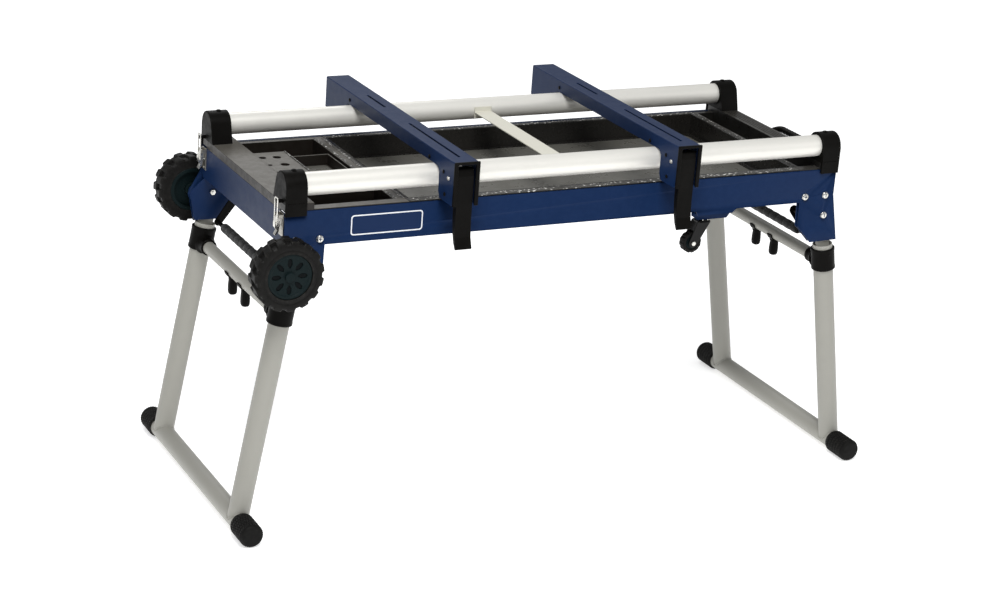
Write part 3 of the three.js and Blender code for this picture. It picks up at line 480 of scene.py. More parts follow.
def tray_plastic(name, base, dusty, rough=0.24):
    """Glossy vacuum-formed tray: softly wavy, with dust lying in it."""
    look = Look(name, rough, Specular_IOR_Level=0.3)
    dust = look.ramp(look.noise(5, 5, 0.65), 0.35, 0.8)
    swirl = look.ramp(look.noise(30, 6, 0.72, stretch=(1, 3, 1)), 0.56, 0.72)
    look.colour(base, (dusty, look.times(dust, 0.4)), (dusty, look.times(swirl, 0.1)))
    look.roughness(look.ramp(look.noise(24, 5, 0.65), 0.3, 0.8, rough - 0.05, rough + 0.16))
    look.bump(look.noise(7, 3, 0.5), 0.35, 0.006)
    return look.bump(look.noise(900, 2, 0.5), 0.12, 0.0002).mat


def grit_strip():
    """Light grains pressed into the tray's rim."""
    look = Look("tray_grit", 0.5, Specular_IOR_Level=0.3)
    grain = look.ramp(look.cells(150, stretch=(0.7, 1, 1)), 0.2, 0.42, 1.0, 0.0)
    fine = look.ramp(look.noise(190, 3, 0.6), 0.44, 0.54)
    look.colour((0.06, 0.058, 0.054), ((0.75, 0.74, 0.71), look.times(grain, fine)))
    return look.bump(grain, 0.7, 0.0009).mat


def anodised(name, base, rough, metallic):
    """Drawn tube: fine lines along its length, faint bands and handling marks."""
    look = Look(name, rough, metallic)
    lines = look.noise(1.0, 4, 0.6, stretch=(5, 900, 900))
    bands = look.ramp(look.noise(3.2, 3, 0.5, stretch=(1, 0.2, 0.2)), 0.35, 0.7)
    smudge = look.ramp(look.noise(18, 6, 0.7), 0.5, 0.78)
    darker = tuple(c * 0.86 for c in base)
    look.colour(base, (darker, look.times(bands, 0.3)), (darker, look.times(smudge, 0.35)))
    look.roughness(look.ramp(lines, 0.3, 0.7, rough - 0.01, rough + 0.02))
    return look.bump(lines, 0.012, 0.0001).mat


def bright_metal(name, base, rough):
    look = Look(name, rough, 1.0)
    cloud = look.ramp(look.noise(160, 5, 0.65), 0.35, 0.7)
    look.colour(base, ((0.5, 0.48, 0.42), look.times(cloud, 0.3)))
    look.roughness(look.ramp(look.noise(300, 4, 0.6), 0.3, 0.7, rough - 0.06, rough + 0.14))
    return look.bump(look.noise(1200, 3, 0.5), 0.1, 0.0002).mat


def rubber(name, base, light, rough, grain=650, depth=0.3):
    look = Look(name, rough, Specular_IOR_Level=0.12)
    worn = look.times(look.edges(0.52, 0.6), look.ramp(look.noise(90, 5, 0.7), 0.35, 0.6))
    dust = look.ramp(look.noise(45, 6, 0.75), 0.45, 0.8)
    look.colour(base, (light, look.times(dust, 0.12)), (light, look.times(worn, 0.5)))
    look.roughness(look.ramp(look.noise(80, 4, 0.6), 0.3, 0.7, rough - 0.1, rough + 0.08))
    return look.bump(look.noise(grain, 4, 0.6), depth, 0.0004).mat


def foam():
    look = Look("foam_cells", 0.95, Sheen_Weight=0.25, Sheen_Roughness=0.5, Specular_IOR_Level=0.2)
    pores = look.cells(900)
    look.colour((0.009, 0.009, 0.0088), ((0.03, 0.03, 0.029), look.ramp(look.noise(300, 4, 0.6), 0.5, 0.75)))
    look.bump(pores, 0.75, 0.0007)
    return look.bump(look.noise(130, 3, 0.6), 0.3, 0.001).mat


BLUE = powder_coat(
    "blue_coat", (0.006, 0.0195, 0.066), (0.04, 0.08, 0.19),
    (0.0045, 0.016, 0.056), 0.36, 0.09,
)
GREY = powder_coat("leg_coat", (0.315, 0.309, 0.277), (0.52, 0.51, 0.48), (0.275, 0.269, 0.241), 0.36, 0.35)
CREAM = powder_coat("strap_coat", (0.66, 0.645, 0.56), (0.72, 0.71, 0.66), (0.47, 0.455, 0.39), 0.45, 0.4)
WHITE = powder_coat("badge_line", (0.74, 0.76, 0.79), (0.9, 0.9, 0.9), (0.6, 0.62, 0.66), 0.4)
FORK = powder_coat("fork_coat", (0.005, 0.0049, 0.0047), (0.08, 0.08, 0.075), (0.003, 0.003, 0.003), 0.3, 0.2)
BLACK = moulded("moulded_black", (0.0032, 0.0029, 0.0025), (0.025, 0.023, 0.021), 0.42, gloss=0.06)
# Painted reflection: the last colour is a lighter tone for the deck's level top faces, standing in for their
# glossy reflection.
DECK = moulded(
    "deck_black", (0.009, 0.0085, 0.0075), (0.05, 0.046, 0.04),
    0.34, 1300, 0.3, 0.3, (0.03, 0.028, 0.0245),
)
HUB = moulded("hub_teal", (0.0042, 0.0095, 0.0103), (0.016, 0.028, 0.03), 0.44, grain=1500, gloss=0.08)
TRAY = tray_plastic("tray_gloss", (0.011, 0.0102, 0.009), (0.03, 0.028, 0.025))
# Painted reflection: the last colour is a lighter tone for the left deck's level top faces, standing in for
# their glossy reflection.
LEFT_DECK = moulded(
    "deck_left", (0.012, 0.0095, 0.0075), (0.05, 0.046, 0.04),
    0.36, 1300, 0.3, 0.3, (0.085, 0.079, 0.068),
)
PETAL = moulded("hub_petal", (0.0028, 0.004, 0.0045), (0.012, 0.016, 0.017), 0.5, grain=1500, gloss=0.05)
FLOOR = tray_plastic("tray_floor", (0.105, 0.102, 0.09), (0.15, 0.145, 0.13), 0.3)
GRIT = grit_strip()
TUBE = anodised("tube_anodised", (0.80, 0.785, 0.735), 0.36, 0.3)
ZINC = bright_metal("bright_zinc", (0.72, 0.71, 0.67), 0.24)
# Painted shade: a darker copy of the bright zinc for the latch base plates, as if they stood in shadow.
SHADED_ZINC = bright_metal("latch_zinc_painted_shade", (0.40, 0.385, 0.35), 0.34)
RUBBER = rubber("foot_rubber", (0.0045, 0.0043, 0.004), (0.045, 0.043, 0.039), 0.6)
TYRE = rubber("tyre_rubber", (0.0045, 0.0042, 0.0038), (0.05, 0.048, 0.043), 0.5, grain=420, depth=0.4)
FOAM = foam()


# ------------------------------------------------------------------ small hardware
def pan_screw(at, direction, r=8.6, h=5.4):
    """Domed screw head with a cross recess."""
    profile = [(r, 0), (r, h * 0.34), (r * 0.94, h * 0.6), (r * 0.72, h * 0.86), (r * 0.42, h * 0.98), (0, h)]
    head = lathe(at, direction, [(0, -0.4), (r, -0.4), *profile], 40)
    u, v, w = basis(direction)
    arms = []
    for a, b in ((u, v), (v, u)):
        bar = block(-r * 0.5, r * 0.5, -r * 0.11, r * 0.11, h * 0.62, h + 1)
        bar.transform(Matrix.Translation(Vector(at)) @ Matrix((a, b, w)).transposed().to_4x4())
        bmesh.ops.recalc_face_normals(bar, faces=bar.faces)
        arms.append(bar)
    return soften(carve(head, *arms), 0.25, 2, 40)


def hex_nut(at, direction, flat=13.0, h=7.0, bore=0.0, turn=0.0):
    """Nut with chamfered corners; a bolt end stands in its bore."""
    u, v, w = basis(direction)
    r = flat / 2 / math.cos(math.radians(30))
    outline = arc(0, 0, r, turn, turn + 300, 5)
    nut = soften(prism(outline, "z", 0, h), 0.7, 2, 30)
    nut.transform(Matrix.Translation(Vector(at)) @ Matrix((u, v, w)).transposed().to_4x4())
    bmesh.ops.recalc_face_normals(nut, faces=nut.faces)
    parts = [nut]
    if bore:
        tip = Vector(at) + w * (h + bore * 0.7)
        parts.append(rod(Vector(at), tip, bore, 28, 0.7))
    return merge(*parts)


def washer(at, direction, r, inner, t=1.2):
    edge = 0.3
    ring = [(inner, 0), (r - edge, 0), (r, edge), (r, t - edge), (r - edge, t), (inner, t)]
    return lathe(at, direction, ring, 40, ring=True)


CORNERS = [
    ("right", "front", (1, 1)),
    ("right", "rear", (1, -1)),
    ("left", "front", (-1, 1)),
    ("left", "rear", (-1, -1)),
]
ENDS = [("front", (1, 1)), ("rear", (1, -1))]
SIDES = [("right", (1, 1)), ("left", (-1, 1))]


# ------------------------------------------------------------------ side rails, panels, pivot plates
def long_top(mid, run):
    return abs(run.x) > 60 and mid.z > RAIL_TOP - 1


def side_rails():
    for end, _ in ENDS:
        sheet = skin(f"rail_{end}")
        out = -RAIL_Y if end == "front" else RAIL_Y
        soften(sheet, 2.2, 4, pick=lambda m, d: long_top(m, d) and abs(m.y - out) < 0.2)
        soften(sheet, 0.45, 2, 38)
        emit(f"rail_{end}_sheet", sheet, BLUE, "frame", f"rail_{end}")
    heads, nuts = [], []
    for dx, dz in ((-58, 49), (-2, 49), (0, 0)):  # two spacer bolts and the pivot pin
        x, z = PIVOT_X + dx, PIVOT_Z + dz
        heads.append(pan_screw((x, -RAIL_Y, z), (0, -1, 0)))
        nuts.append(hex_nut((x, -244, z), (0, 1, 0), 12, 5.5, 3.6))
    for side, end, mirror in CORNERS:
        emit(f"ear_screws_{side}_{end}", merge(*heads), ZINC, "frame", mirror=mirror)
        emit(f"ear_nuts_{side}_{end}", merge(*nuts), ZINC, "frame", mirror=mirror)


def plates():
    for side, _ in SIDES:
        panel = soften(skin(f"end_panel_{side}"), 0.6, 2, 38)
        emit(f"end_panel_{side}_sheet", panel, BLUE, "frame", f"end_panel_{side}")
    for side, end, _ in CORNERS:
        name = f"pivot_plate_{side}_{end}"
        emit(f"{name}_sheet", soften(skin(name), 0.4, 2, 38), BLUE, "frame", name)


def badge():
    """Blank outlined plate on the front rail, with no lettering."""
    x0, x1, z0, z1 = -540, -373, 661, 706
    face = -RAIL_Y
    border, inset = 2.6, 2.9
    outer = round_rect(x0, z0, x1, z1, 8, 8)
    inner = round_rect(x0 + border, z0 + border, x1 - border, z1 - border, 6, 8)
    line = carve(prism(outer, "y", face - 0.5, face + 0.2), prism(inner, "y", face - 3, face + 3))
    emit("badge_outline", line, WHITE, "frame")
    middle = round_rect(x0 + inset, z0 + inset, x1 - inset, z1 - inset, 5.7, 8)
    field = prism(middle, "y", face - 0.35, face + 0.2)
    emit("badge_field", soften(field, 0.1, 1, 60), BLUE, "frame")


# ------------------------------------------------------------------ tray
def trays():
    for part in ("main", "left", "right"):
        look = {"main": TRAY, "left": LEFT_DECK, "right": DECK}[part]
        tray = skin(f"tray_{part}")
        soften(tray, 1.3, 3, 38, pick=lambda m, d: m.z > RAIL_TOP - 2)
        soften(tray, 0.5, 2, 38)
        emit(f"tray_{part}_shell", tray, look, "frame", f"tray_{part}")
    top = RAIL_TOP + 3
    strips, lips = [], []
    for y0, y1 in ((-254.5, -236), (231.5, 243)):
        strips.append(soften(block(-402, 588, y0, y1, top - 0.3, top + 0.8), 0.5, 2))
    lips.append(soften(block(-FRAME_X + 70, FRAME_X - 50, 243.6, 254.8, top - 0.3, top + 0.9), 0.5, 2))
    for x, w in ((-427, 3.0), (-409, 3.4), (586, 1.6), (594.5, 1.6)):
        strips.append(soften(block(x - w, x + w, -231, 231, top - 0.3, top + 0.8), 0.5, 2))
    emit("tray_grit_rim", merge(*strips), GRIT, "frame")
    emit("rail_lips", merge(*lips), BLUE, "frame")
    ribs = [
        soften(block(x - 1.4, x + 1.4, -226, 226, DECK_TOP - 0.2, DECK_TOP + 0.9), 0.5, 2)
        for x in (657, 665, 673, 681)
    ]
    emit("right_deck_ribs", merge(*ribs), DECK, "frame")
    floor = RAIL_TOP + 3 - 54 + 3
    outline = round_rect(-376, -216, 564, 216, 22, 8)
    pads = [soften(prism(outline, "z", floor - 0.5, floor + 0.9), 0.7, 2, 50)]
    bin_floor = RAIL_TOP + 3 - 24
    outline = round_rect(-540, -140, -450, 102, 10, 8)
    pads.append(soften(prism(outline, "z", bin_floor - 0.5, bin_floor + 0.9), 0.7, 2, 50))
    emit("tray_floor_panels", merge(*pads), FLOOR, "frame")
    edge = soften(block(-551.5, -548.2, -148, 110, DECK_TOP - 0.4, DECK_TOP + 0.9), 0.5, 2)
    emit("holder_edge", edge, GRIT, "frame")


# ------------------------------------------------------------------ tubes, caps, strap, handle
def rail_tubes():
    for end, _ in ENDS:
        lo, hi = node_box(f"tube_{end}")
        y = (lo.y + hi.y) / 2
        length = hi.x - lo.x
        wall = [(23, 0), (24.2, 0), (25, 0.8), (25, length - 0.8), (24.2, length), (23, length)]
        tube = lathe((lo.x, y, TUBE_Z), (1, 0, 0), wall, 112, ring=True)
        emit(f"tube_{end}_drawn", tube, TUBE, "frame", f"tube_{end}")
    strap = soften(skin("cross_strap"), 0.8, 3, 38)
    emit("cross_strap_plate", strap, CREAM, "frame", "cross_strap")


def corner_cap(keeper):
    x0, x1 = CAP_X, FRAME_X + 2
    base = DECK_TOP + 0.3
    crown = arc(-TUBE_Y, TUBE_Z, CAP_R, 15, 158, 48)
    skirt = [(-264, TUBE_Z), (-264, RAIL_TOP - 8), (-258.3, RAIL_TOP - 8), (-258.3, base)]
    outline = [(-188, base), *crown, *skirt]
    body = prism(outline, "x", x0, x1)
    bore = rod((x0 - 5, -TUBE_Y, TUBE_Z), (x0 + CAP_BORE, -TUBE_Y, TUBE_Z), 25.3, 72, 0.1)
    body = carve(body, bore)
    soften(
        body, 2.4, 4, 30, pick=lambda m, d: m.x > x0 + 1 and m.z > base + 1 and abs(m.x - x0 - CAP_BORE) > 1
    )
    soften(body, 0.9, 3, 32)
    collar_at = (x0 - 0.1, -TUBE_Y, TUBE_Z)
    collar_ring = [(25.3, -2), (28.5, -2), (28.5, 0.2), (27.8, 0.8), (25.3, 0.8)]
    collar = lathe(collar_at, (-1, 0, 0), collar_ring, 72, ring=True)
    step = soften(block(x0 + 5, x1 - 5, -265.1, -263.5, RAIL_TOP + 18, RAIL_TOP + 20.4), 0.6, 2)
    parts = [body, collar, step]
    if keeper:
        z = base + 8
        out = -node_box("cap_left_front")[0].x
        parts.append(soften(block(x1 - 1, out, -243.8, -236.2, z - 7, z), 1.1, 3))
    return merge(*parts)


def caps():
    shapes = {"right": corner_cap(False), "left": corner_cap(True)}
    screw = merge(
        washer((CAP_X + 20, -TUBE_Y, TUBE_Z + CAP_R - 0.5), (0, 0, 1), 7.2, 3, 0.9),
        pan_screw((CAP_X + 20, -TUBE_Y, TUBE_Z + CAP_R - 0.1), (0, 0, 1), 5.3, 2.5),
    )
    for side, end, mirror in CORNERS:
        node = f"cap_{side}_{end}"
        emit(f"{node}_moulding", shapes[side], BLACK, "frame", node, mirror)
        emit(f"{node}_screw", screw, BLACK, "frame", mirror=mirror)


def handle():
    x, out = FRAME_X + 0.3, FRAME_X + 48
    z0, z1 = PANEL_TOP - 20, PANEL_TOP + 6
    half = 75
    line = [
        (x + 4, -half, z0 + 2),
        (out - 12, -half, z1 - 8),
        (out, -half + 16, z1),
        (out, half - 16, z1),
        (out - 12, half, z1 - 8),
        (x + 4, half, z0 + 2),
    ]
    loop = sweep(round_path(line, 15, 10), 8, 28)
    parts = [loop]
    grip = [Vector((out, y, z1)) for y in range(-48, 49, 2)]
    sleeve = sweep(grip, 8.25, 36)
    for v in sleeve.verts:
        wave = 0.45 * (1 + math.cos(v.co.y * math.pi / 6)) - 0.7
        centre = Vector((out, v.co.y, z1))
        v.co = centre + (v.co - centre) * (1 + wave / 8.25)
    parts.append(sleeve)
    screws = []
    for s in (-1, 1):
        pad = prism(round_rect(s * half - 15, z0 - 15, s * half + 15, z0 + 15, 5, 6), "x", x, x + 5)
        parts.append(soften(pad, 1.3, 3))
        boot = [(0, 0), (11, 0), (10.4, 4), (8.6, 8), (8, 11), (0, 11)]
        parts.append(lathe((x + 3, s * half, z0 + 1.5), (1, 0, 0.45), boot, 40))
        screws.append(pan_screw((x + 5, s * half, z0 - 10.2), (1, 0, 0), 3.2, 1.6))
    emit("pull_handle_bow", merge(*parts), BLACK, "frame", "pull_handle")
    emit("pull_handle_screws", merge(*screws), ZINC, "frame")


# ------------------------------------------------------------------ legs
def leg_weld(y):
    foot = on_leg(LEG_LENGTH)
    ring = []
    steps = 56
    for k in range(steps):
        a = 2 * math.pi * k / steps
        across, side = LEG_R * math.cos(a), LEG_R * math.sin(a)
        up = math.sqrt(max(1.0, 22.0**2 - (across * 0.95) ** 2))
        ripple = 0.25 * math.sin(a * 14)
        x = foot[0] - DOWN[0] * (up + ripple) + ACROSS[0] * across
        z = foot[1] - DOWN[1] * (up + ripple) + ACROSS[1] * across
        ring.append(Vector((x, y + side, z)))
    return sweep(ring, 2.0, 10, closed=True)


def leg_frames():
    foot = on_leg(LEG_LENGTH)
    span = FOOT_END - 5.3
    parts = [rod((foot[0], -span, foot[1]), (foot[0], span, foot[1]), 22, 72)]
    length = LEG_LENGTH - LEG_TOP
    top = on_leg(LEG_TOP)
    for s in (-1, 1):
        y = s * LEG_Y
        mouth = [(0, 13), (21, 13), (21, 0.8), (21.6, 0), (22.8, 0), (LEG_R, 0.8)]
        profile = [*mouth, (LEG_R, length), (0, length)]
        parts.append(lathe((top[0], y, top[1]), (DOWN[0], 0, DOWN[1]), profile, 72))
        outline = [on_leg(-d, a) for a, d in arc(0, 0, 18, 0, 180, 24)]
        outline += [on_leg(LEG_TOP + 14, -18), on_leg(LEG_TOP + 14, 18)]
        tang = prism(outline, "y", y - 2.5, y + 2.5)
        hole = rod((PIVOT_X, y - 6, PIVOT_Z), (PIVOT_X, y + 6, PIVOT_Z), 6.3, 32, 0.1)
        parts.append(soften(carve(tang, hole), 0.5, 2, 50))
        parts.append(leg_weld(y))
    frame_shape = merge(*parts)
    at = on_leg(CROSS_DIST)
    bar = rod((at[0], -225.5, at[1]), (at[0], 225.5, at[1]), CROSS_R, 56)
    for side, mirror in SIDES:
        for node, shape in ((f"leg_frame_{side}", frame_shape), (f"crossbar_{side}", bar)):
            emit(f"{node}_tube", shape, GREY, f"legs_{side}", node, mirror)


def leg_clamps():
    start, length = on_leg(CLAMP_FROM), CLAMP_TO - CLAMP_FROM
    at = on_leg(CROSS_DIST)
    sleeve = [(23.8, 0), (26.8, 0), (28.5, 1.6), (28.5, 7), (27.9, 8), (27.9, length - 8)]
    sleeve += [(28.5, length - 7), (28.5, length - 1.6), (26.8, length), (23.8, length)]
    parts = [lathe((start[0], -LEG_Y, start[1]), (DOWN[0], 0, DOWN[1]), sleeve, 72, ring=True)]
    inner = CROSS_R + 0.3
    socket = [(inner, 24), (24, 24), (22.5, 27), (20, 31), (18.4, 36), (18.4, 44), (19, 45)]
    socket += [(19, 51.5), (17.5, 53), (inner, 53)]
    parts.append(lathe((at[0], -LEG_Y, at[1]), (0, 1, 0), socket, 64, ring=True))
    clamp = merge(*parts)
    pin = on_leg(CLAMP_FROM + 12)
    head = [(0, -0.5), (3.4, -0.5), (3.2, 0.6), (1.8, 1.2), (0, 1.3)]
    screw = lathe((pin[0], -LEG_Y - 27.2, pin[1]), (0, -1, 0), head, 28)
    for side, end, mirror in CORNERS:
        node = f"leg_clamp_{side}_{end}"
        emit(f"{node}_moulding", clamp, BLACK, f"legs_{side}", node, mirror)
        emit(f"{node}_pin", screw, BLACK, f"legs_{side}", mirror=mirror)


def foot_caps():
    """Knurled rubber cap: rows of short ribs, each row set half a rib on from the last."""
    x, z = on_leg(LEG_LENGTH)
    ribs, per = 30, 6
    seg = ribs * per
    rows = [(0, 0, 0), (18, 0, 0), (21, 0.4, 0), (23, 1.4, 0), (24.6, 3.2, 0), (25.4, 5, 0)]
    count, pitch, start = 6, 10.4, 6.4
    crest = FOOT_R - 0.02
    for i in range(count):
        t = start + i * pitch
        phase = 1 + (i % 2)
        rows += [(25.5, t, 0), (crest, t + 1.1, phase)]
        rows += [(crest, t + pitch - 2.2, phase), (25.5, t + pitch - 1.1, 0)]
    rows += [(25.4, 69.5, 0), (24.8, 71, 0), (22.3, 71, 0)]
    bm = bmesh.new()
    rings = []
    for r, t, phase in rows:
        if r == 0:
            rings.append([bm.verts.new((x, -FOOT_END + t, z))])
            continue
        ring = []
        for k in range(seg):
            a = 2 * math.pi * k / seg
            radius = r
            if phase:
                step = (k + (per // 2 if phase == 2 else 0)) % per
                radius = r if step in (0, 1, 2) else (r - 0.5 if step in (3, 5) else 25.5)
            ring.append(bm.verts.new((x + radius * math.cos(a), -FOOT_END + t, z + radius * math.sin(a))))
        rings.append(ring)
    for a, b in zip(rings, rings[1:]):
        for k in range(seg):
            m = (k + 1) % seg
            bm.faces.new((a[0], b[k], b[m]) if len(a) == 1 else (a[k], b[k], b[m], a[m]))
    inner = [bm.verts.new((u, -FOOT_END + 8, v)) for u, v in arc(x, z, 22.3, 0, 360, seg)[:seg]]
    last = rings[-1]
    for k in range(seg):
        m = (k + 1) % seg
        bm.faces.new((last[k], inner[k], inner[m], last[m]))
    bm.faces.new(inner)
    bmesh.ops.recalc_face_normals(bm, faces=bm.faces)
    for side, end, mirror in CORNERS:
        node = f"foot_cap_{side}_{end}"
        emit(f"{node}_knurl", bm, RUBBER, f"legs_{side}", node, mirror, smooth=28)


def pegs():
    """Hanging peg: a saddle under the crossbar, a fat rounded bar, and a small hook near its top."""
    x, z = on_leg(CROSS_DIST)
    drops = [(15, 0.8), (18, 0.94), (22, 0.9), (27, 0.95), (37, 1.0), (46, 1.0)]  # depth, share of full width
    drops += [(51, 0.94), (54.4, 0.78), (56, 0.45)]
    for end, y in (("front", -40), ("rear", 40)):
        saddle = arc(x, z, CROSS_R + 0.3, 185, 355, 20) + arc(x, z, CROSS_R + 3.6, 355, 185, 20)
        parts = [soften(prism(saddle, "y", y - 10, y + 10), 1.2, 3)]
        rows, seg = [], 28
        bm = bmesh.new()
        for t, size in drops:
            ring = []
            for k in range(seg):
                a = 2 * math.pi * k / seg
                c, s = math.cos(a), math.sin(a)
                px = 10 * size * math.copysign(abs(c) ** 0.72, c)
                py = 11 * size * math.copysign(abs(s) ** 0.72, s)
                ring.append(bm.verts.new((x + px, y + py, z - t)))
            rows.append(ring)
        skin_rings(bm, rows)
        bm.faces.new(rows[0])
        bm.faces.new(rows[-1])
        bmesh.ops.recalc_face_normals(bm, faces=bm.faces)
        parts.append(bm)
        reach = ((5, 26), (12, 24), (16, 22), (16, 18), (12, 16.5), (5, 17))
        hook = [(y + dy, z - dz) for dy, dz in reach]
        parts.append(soften(prism(fillet(hook, 1.6, 4), "x", x - 4, x + 4), 1.1, 3))
        peg = merge(*parts)
        for side, mirror in SIDES:
            node = f"peg_{side}_{end}"
            emit(f"{node}_moulding", peg, BLACK, f"legs_{side}", node, mirror)


def release_bars():
    rod_x, rod_z = PIVOT_X - 6, PIVOT_Z - 64
    hinge_x, hinge_z = PIVOT_X - 56, PIVOT_Z + 4
    outer, inner = 219, 215
    lean = math.degrees(math.atan2(rod_z - hinge_z, rod_x - hinge_x))
    arm_line = arc(rod_x, rod_z, 9, lean - 90, lean + 90, 18)
    arm_line += arc(hinge_x, hinge_z, 11, lean + 90, lean + 270, 18)
    parts = [rod((rod_x, -outer - 2, rod_z), (rod_x, outer + 2, rod_z), 5, 32)]
    for s in (-1, 1):
        parts.append(soften(prism(arm_line, "y", s * inner, s * outer), 0.6, 2, 50))
        parts.append(rod((hinge_x, s * inner, hinge_z), (hinge_x, s * 243.7, hinge_z), 5, 32))
        parts.append(rod((hinge_x, s * (inner - 3), hinge_z), (hinge_x, s * inner, hinge_z), 7, 32))
    bar = merge(*parts)
    half, count = 175, 12
    profile = [(5.3, 0), (8.2, 0), (9.4, 0.8)]
    steps = count * 12
    for k in range(1, steps):
        t = 2 * half * k / steps
        profile.append((9.7 + 1.25 * abs(math.sin(math.pi * count * k / steps)) ** 0.6, t))
    profile += [(9.4, 2 * half - 0.8), (8.2, 2 * half), (5.3, 2 * half)]
    grip = lathe((rod_x, -half, rod_z), (0, 1, 0), profile, 48, ring=True)
    for side, mirror in SIDES:
        body, node = f"release_{side}", f"release_bar_{side}"
        emit(f"{node}_bow", bar, BLACK, body, node, mirror)
        node = f"release_grip_{side}"
        emit(f"{node}_foam", grip, FOAM, body, node, mirror, smooth=60)


# ------------------------------------------------------------------ machine arms
def slot_corner(mid, run, cx):
    upright = abs(run.z) > 2 and abs(run.x) < 0.1 and abs(run.y) < 0.1
    return upright and abs(abs(mid.x - cx) - 3) < 0.3 and mid.z > ARM_TOP - 3


def arm_top_edge(mid, run, cx):
    return mid.z > ARM_TOP - 0.1 and abs(run.y) > 200 and abs(abs(mid.x - cx) - 29) < 0.3


def arms():
    rivet = [(0, -0.3), (4.6, -0.3), (4.6, 0.5), (4, 1.5), (2.6, 2.3), (0, 2.6)]
    rivet_places = ((-207, ARM_TOP - 22), (-281, ARM_TOP - 34), (-292, ARM_TOP - 81), (238, ARM_TOP - 19))
    for side, _ in SIDES:
        cx = ARM_X[side]
        node = f"arm_{side}"
        body = skin(node)
        x0, x1 = cx - 29, cx + 29
        soften(body, 2.85, 8, pick=lambda m, d: slot_corner(m, d, cx))
        soften(body, 2.2, 4, pick=lambda m, d: arm_top_edge(m, d, cx))
        soften(body, 0.45, 2, 38)
        emit(f"{node}_channel", body, BLUE, f"arm_{side}", node)
        rivets = []
        for y, z in rivet_places:
            for s, x in ((-1, x0), (1, x1)):
                rivets.append(lathe((x, y, z), (s, 0, 0), rivet, 28))
        emit(f"{node}_rivets", merge(*rivets), BLACK, f"arm_{side}")
        pin = merge(*[pan_screw((cx + s * 29, -306, TUBE_TOP - 12), (s, 0, 0), 5, 2.4) for s in (-1, 1)])
        emit(f"{node}_lever_pin", pin, ZINC, f"arm_{side}")
        bezel = skin(f"arm_bezel_{side}")
        soften(bezel, 1.6, 4, 38)
        emit(f"arm_bezel_{side}_frame", bezel, BLACK, f"arm_{side}", f"arm_bezel_{side}")
        clamp_lever(side, cx)


def clamp_lever(side, cx):
    py, pz = -306, TUBE_TOP - 12
    low = pz - 152
    half = 19.2
    line = [
        *arc(py, pz, 24, -20, 100, 24),
        (py - 14, pz + 28),
        (py - 22, pz + 24),
        (py - 25, pz + 10),
        (py - 25, low + 60),
        (py - 28, low + 26),
        (py - 37, low + 2),
        (py - 31, low),
        (py - 22, low + 14),
        (py - 15, low + 34),
        (py - 11, low + 62),
        (py - 9, pz - 40),
        (py + 4, pz - 26),
    ]
    line = fillet(line, 9, 6)
    bore = rod((cx - 40, py, pz), (cx + 40, py, pz), 4.3, 32, 0.1)
    body = carve(prism(line, "x", cx - half, cx + half), bore)
    soften(body, 2.2, 4, 40)
    emit(f"clamp_lever_{side}_moulding", body, BLACK, f"lever_{side}", f"clamp_lever_{side}")


# ------------------------------------------------------------------ road wheels
def step_up(x, edge):
    t = max(0.0, min(1.0, x / edge))
    return t * t * (3 - 2 * t)


def tyre_shape():
    """Lugged tyre: two rows of blocks, half a pitch apart, that run over the shoulders."""
    y0, y1 = -333.0, -285.0
    mid = (y0 + y1) / 2
    lugs, seg = 15, 15 * 20
    top, core = WHEEL_R, WHEEL_R - 5
    rows = [(y0 + 0.6, 50.3, 0), (y0, 51, 0), (y0, 57, 0)]
    rows += [(y0 + 1.0, 58.4, 0), (y0 + 1.0, 60.4, 0), (y0, 61.8, 0)]
    rows += [(y0 + 0.2, core - 5, 0.25), (y0 + 1.6, core - 2, 0.7), (y0 + 3.6, core, 0.93), (y0 + 5, core, 1)]
    rows += [(y, core, 1) for y in (y0 + 8, y0 + 12, y0 + 16, y0 + 20, mid - 1.2)]
    rows += [(mid - 0.5, core, 0.45), (mid + 0.5, core, 0.45), (mid + 1.2, core, 1)]
    rows += [(y, core, 1) for y in (y1 - 20, y1 - 16, y1 - 12, y1 - 8, y1 - 5)]
    rows += [(y1 - 3.6, core, 0.93), (y1 - 1.6, core - 2, 0.7), (y1 - 0.2, core - 5, 0.25)]
    rows += [(y1, core - 8, 0), (y1, 51, 0), (y1 - 0.6, 50.3, 0)]
    bm = bmesh.new()
    rings = []
    for y, r, lug in rows:
        ring = []
        half = 0.0 if y < mid else 0.5
        for k in range(seg):
            a = 2 * math.pi * k / seg
            share = (lugs * k / seg + half + (y - mid) * 0.006) % 1.0
            raised = step_up(share, 0.07) * step_up(0.66 - share, 0.07)
            radius = r + (top - core) * lug * raised
            ring.append(bm.verts.new((WHEEL_X + radius * math.cos(a), y, WHEEL_Z + radius * math.sin(a))))
        rings.append(ring)
    skin_rings(bm, rings, closed=True)
    bmesh.ops.recalc_face_normals(bm, faces=bm.faces)
    return bm


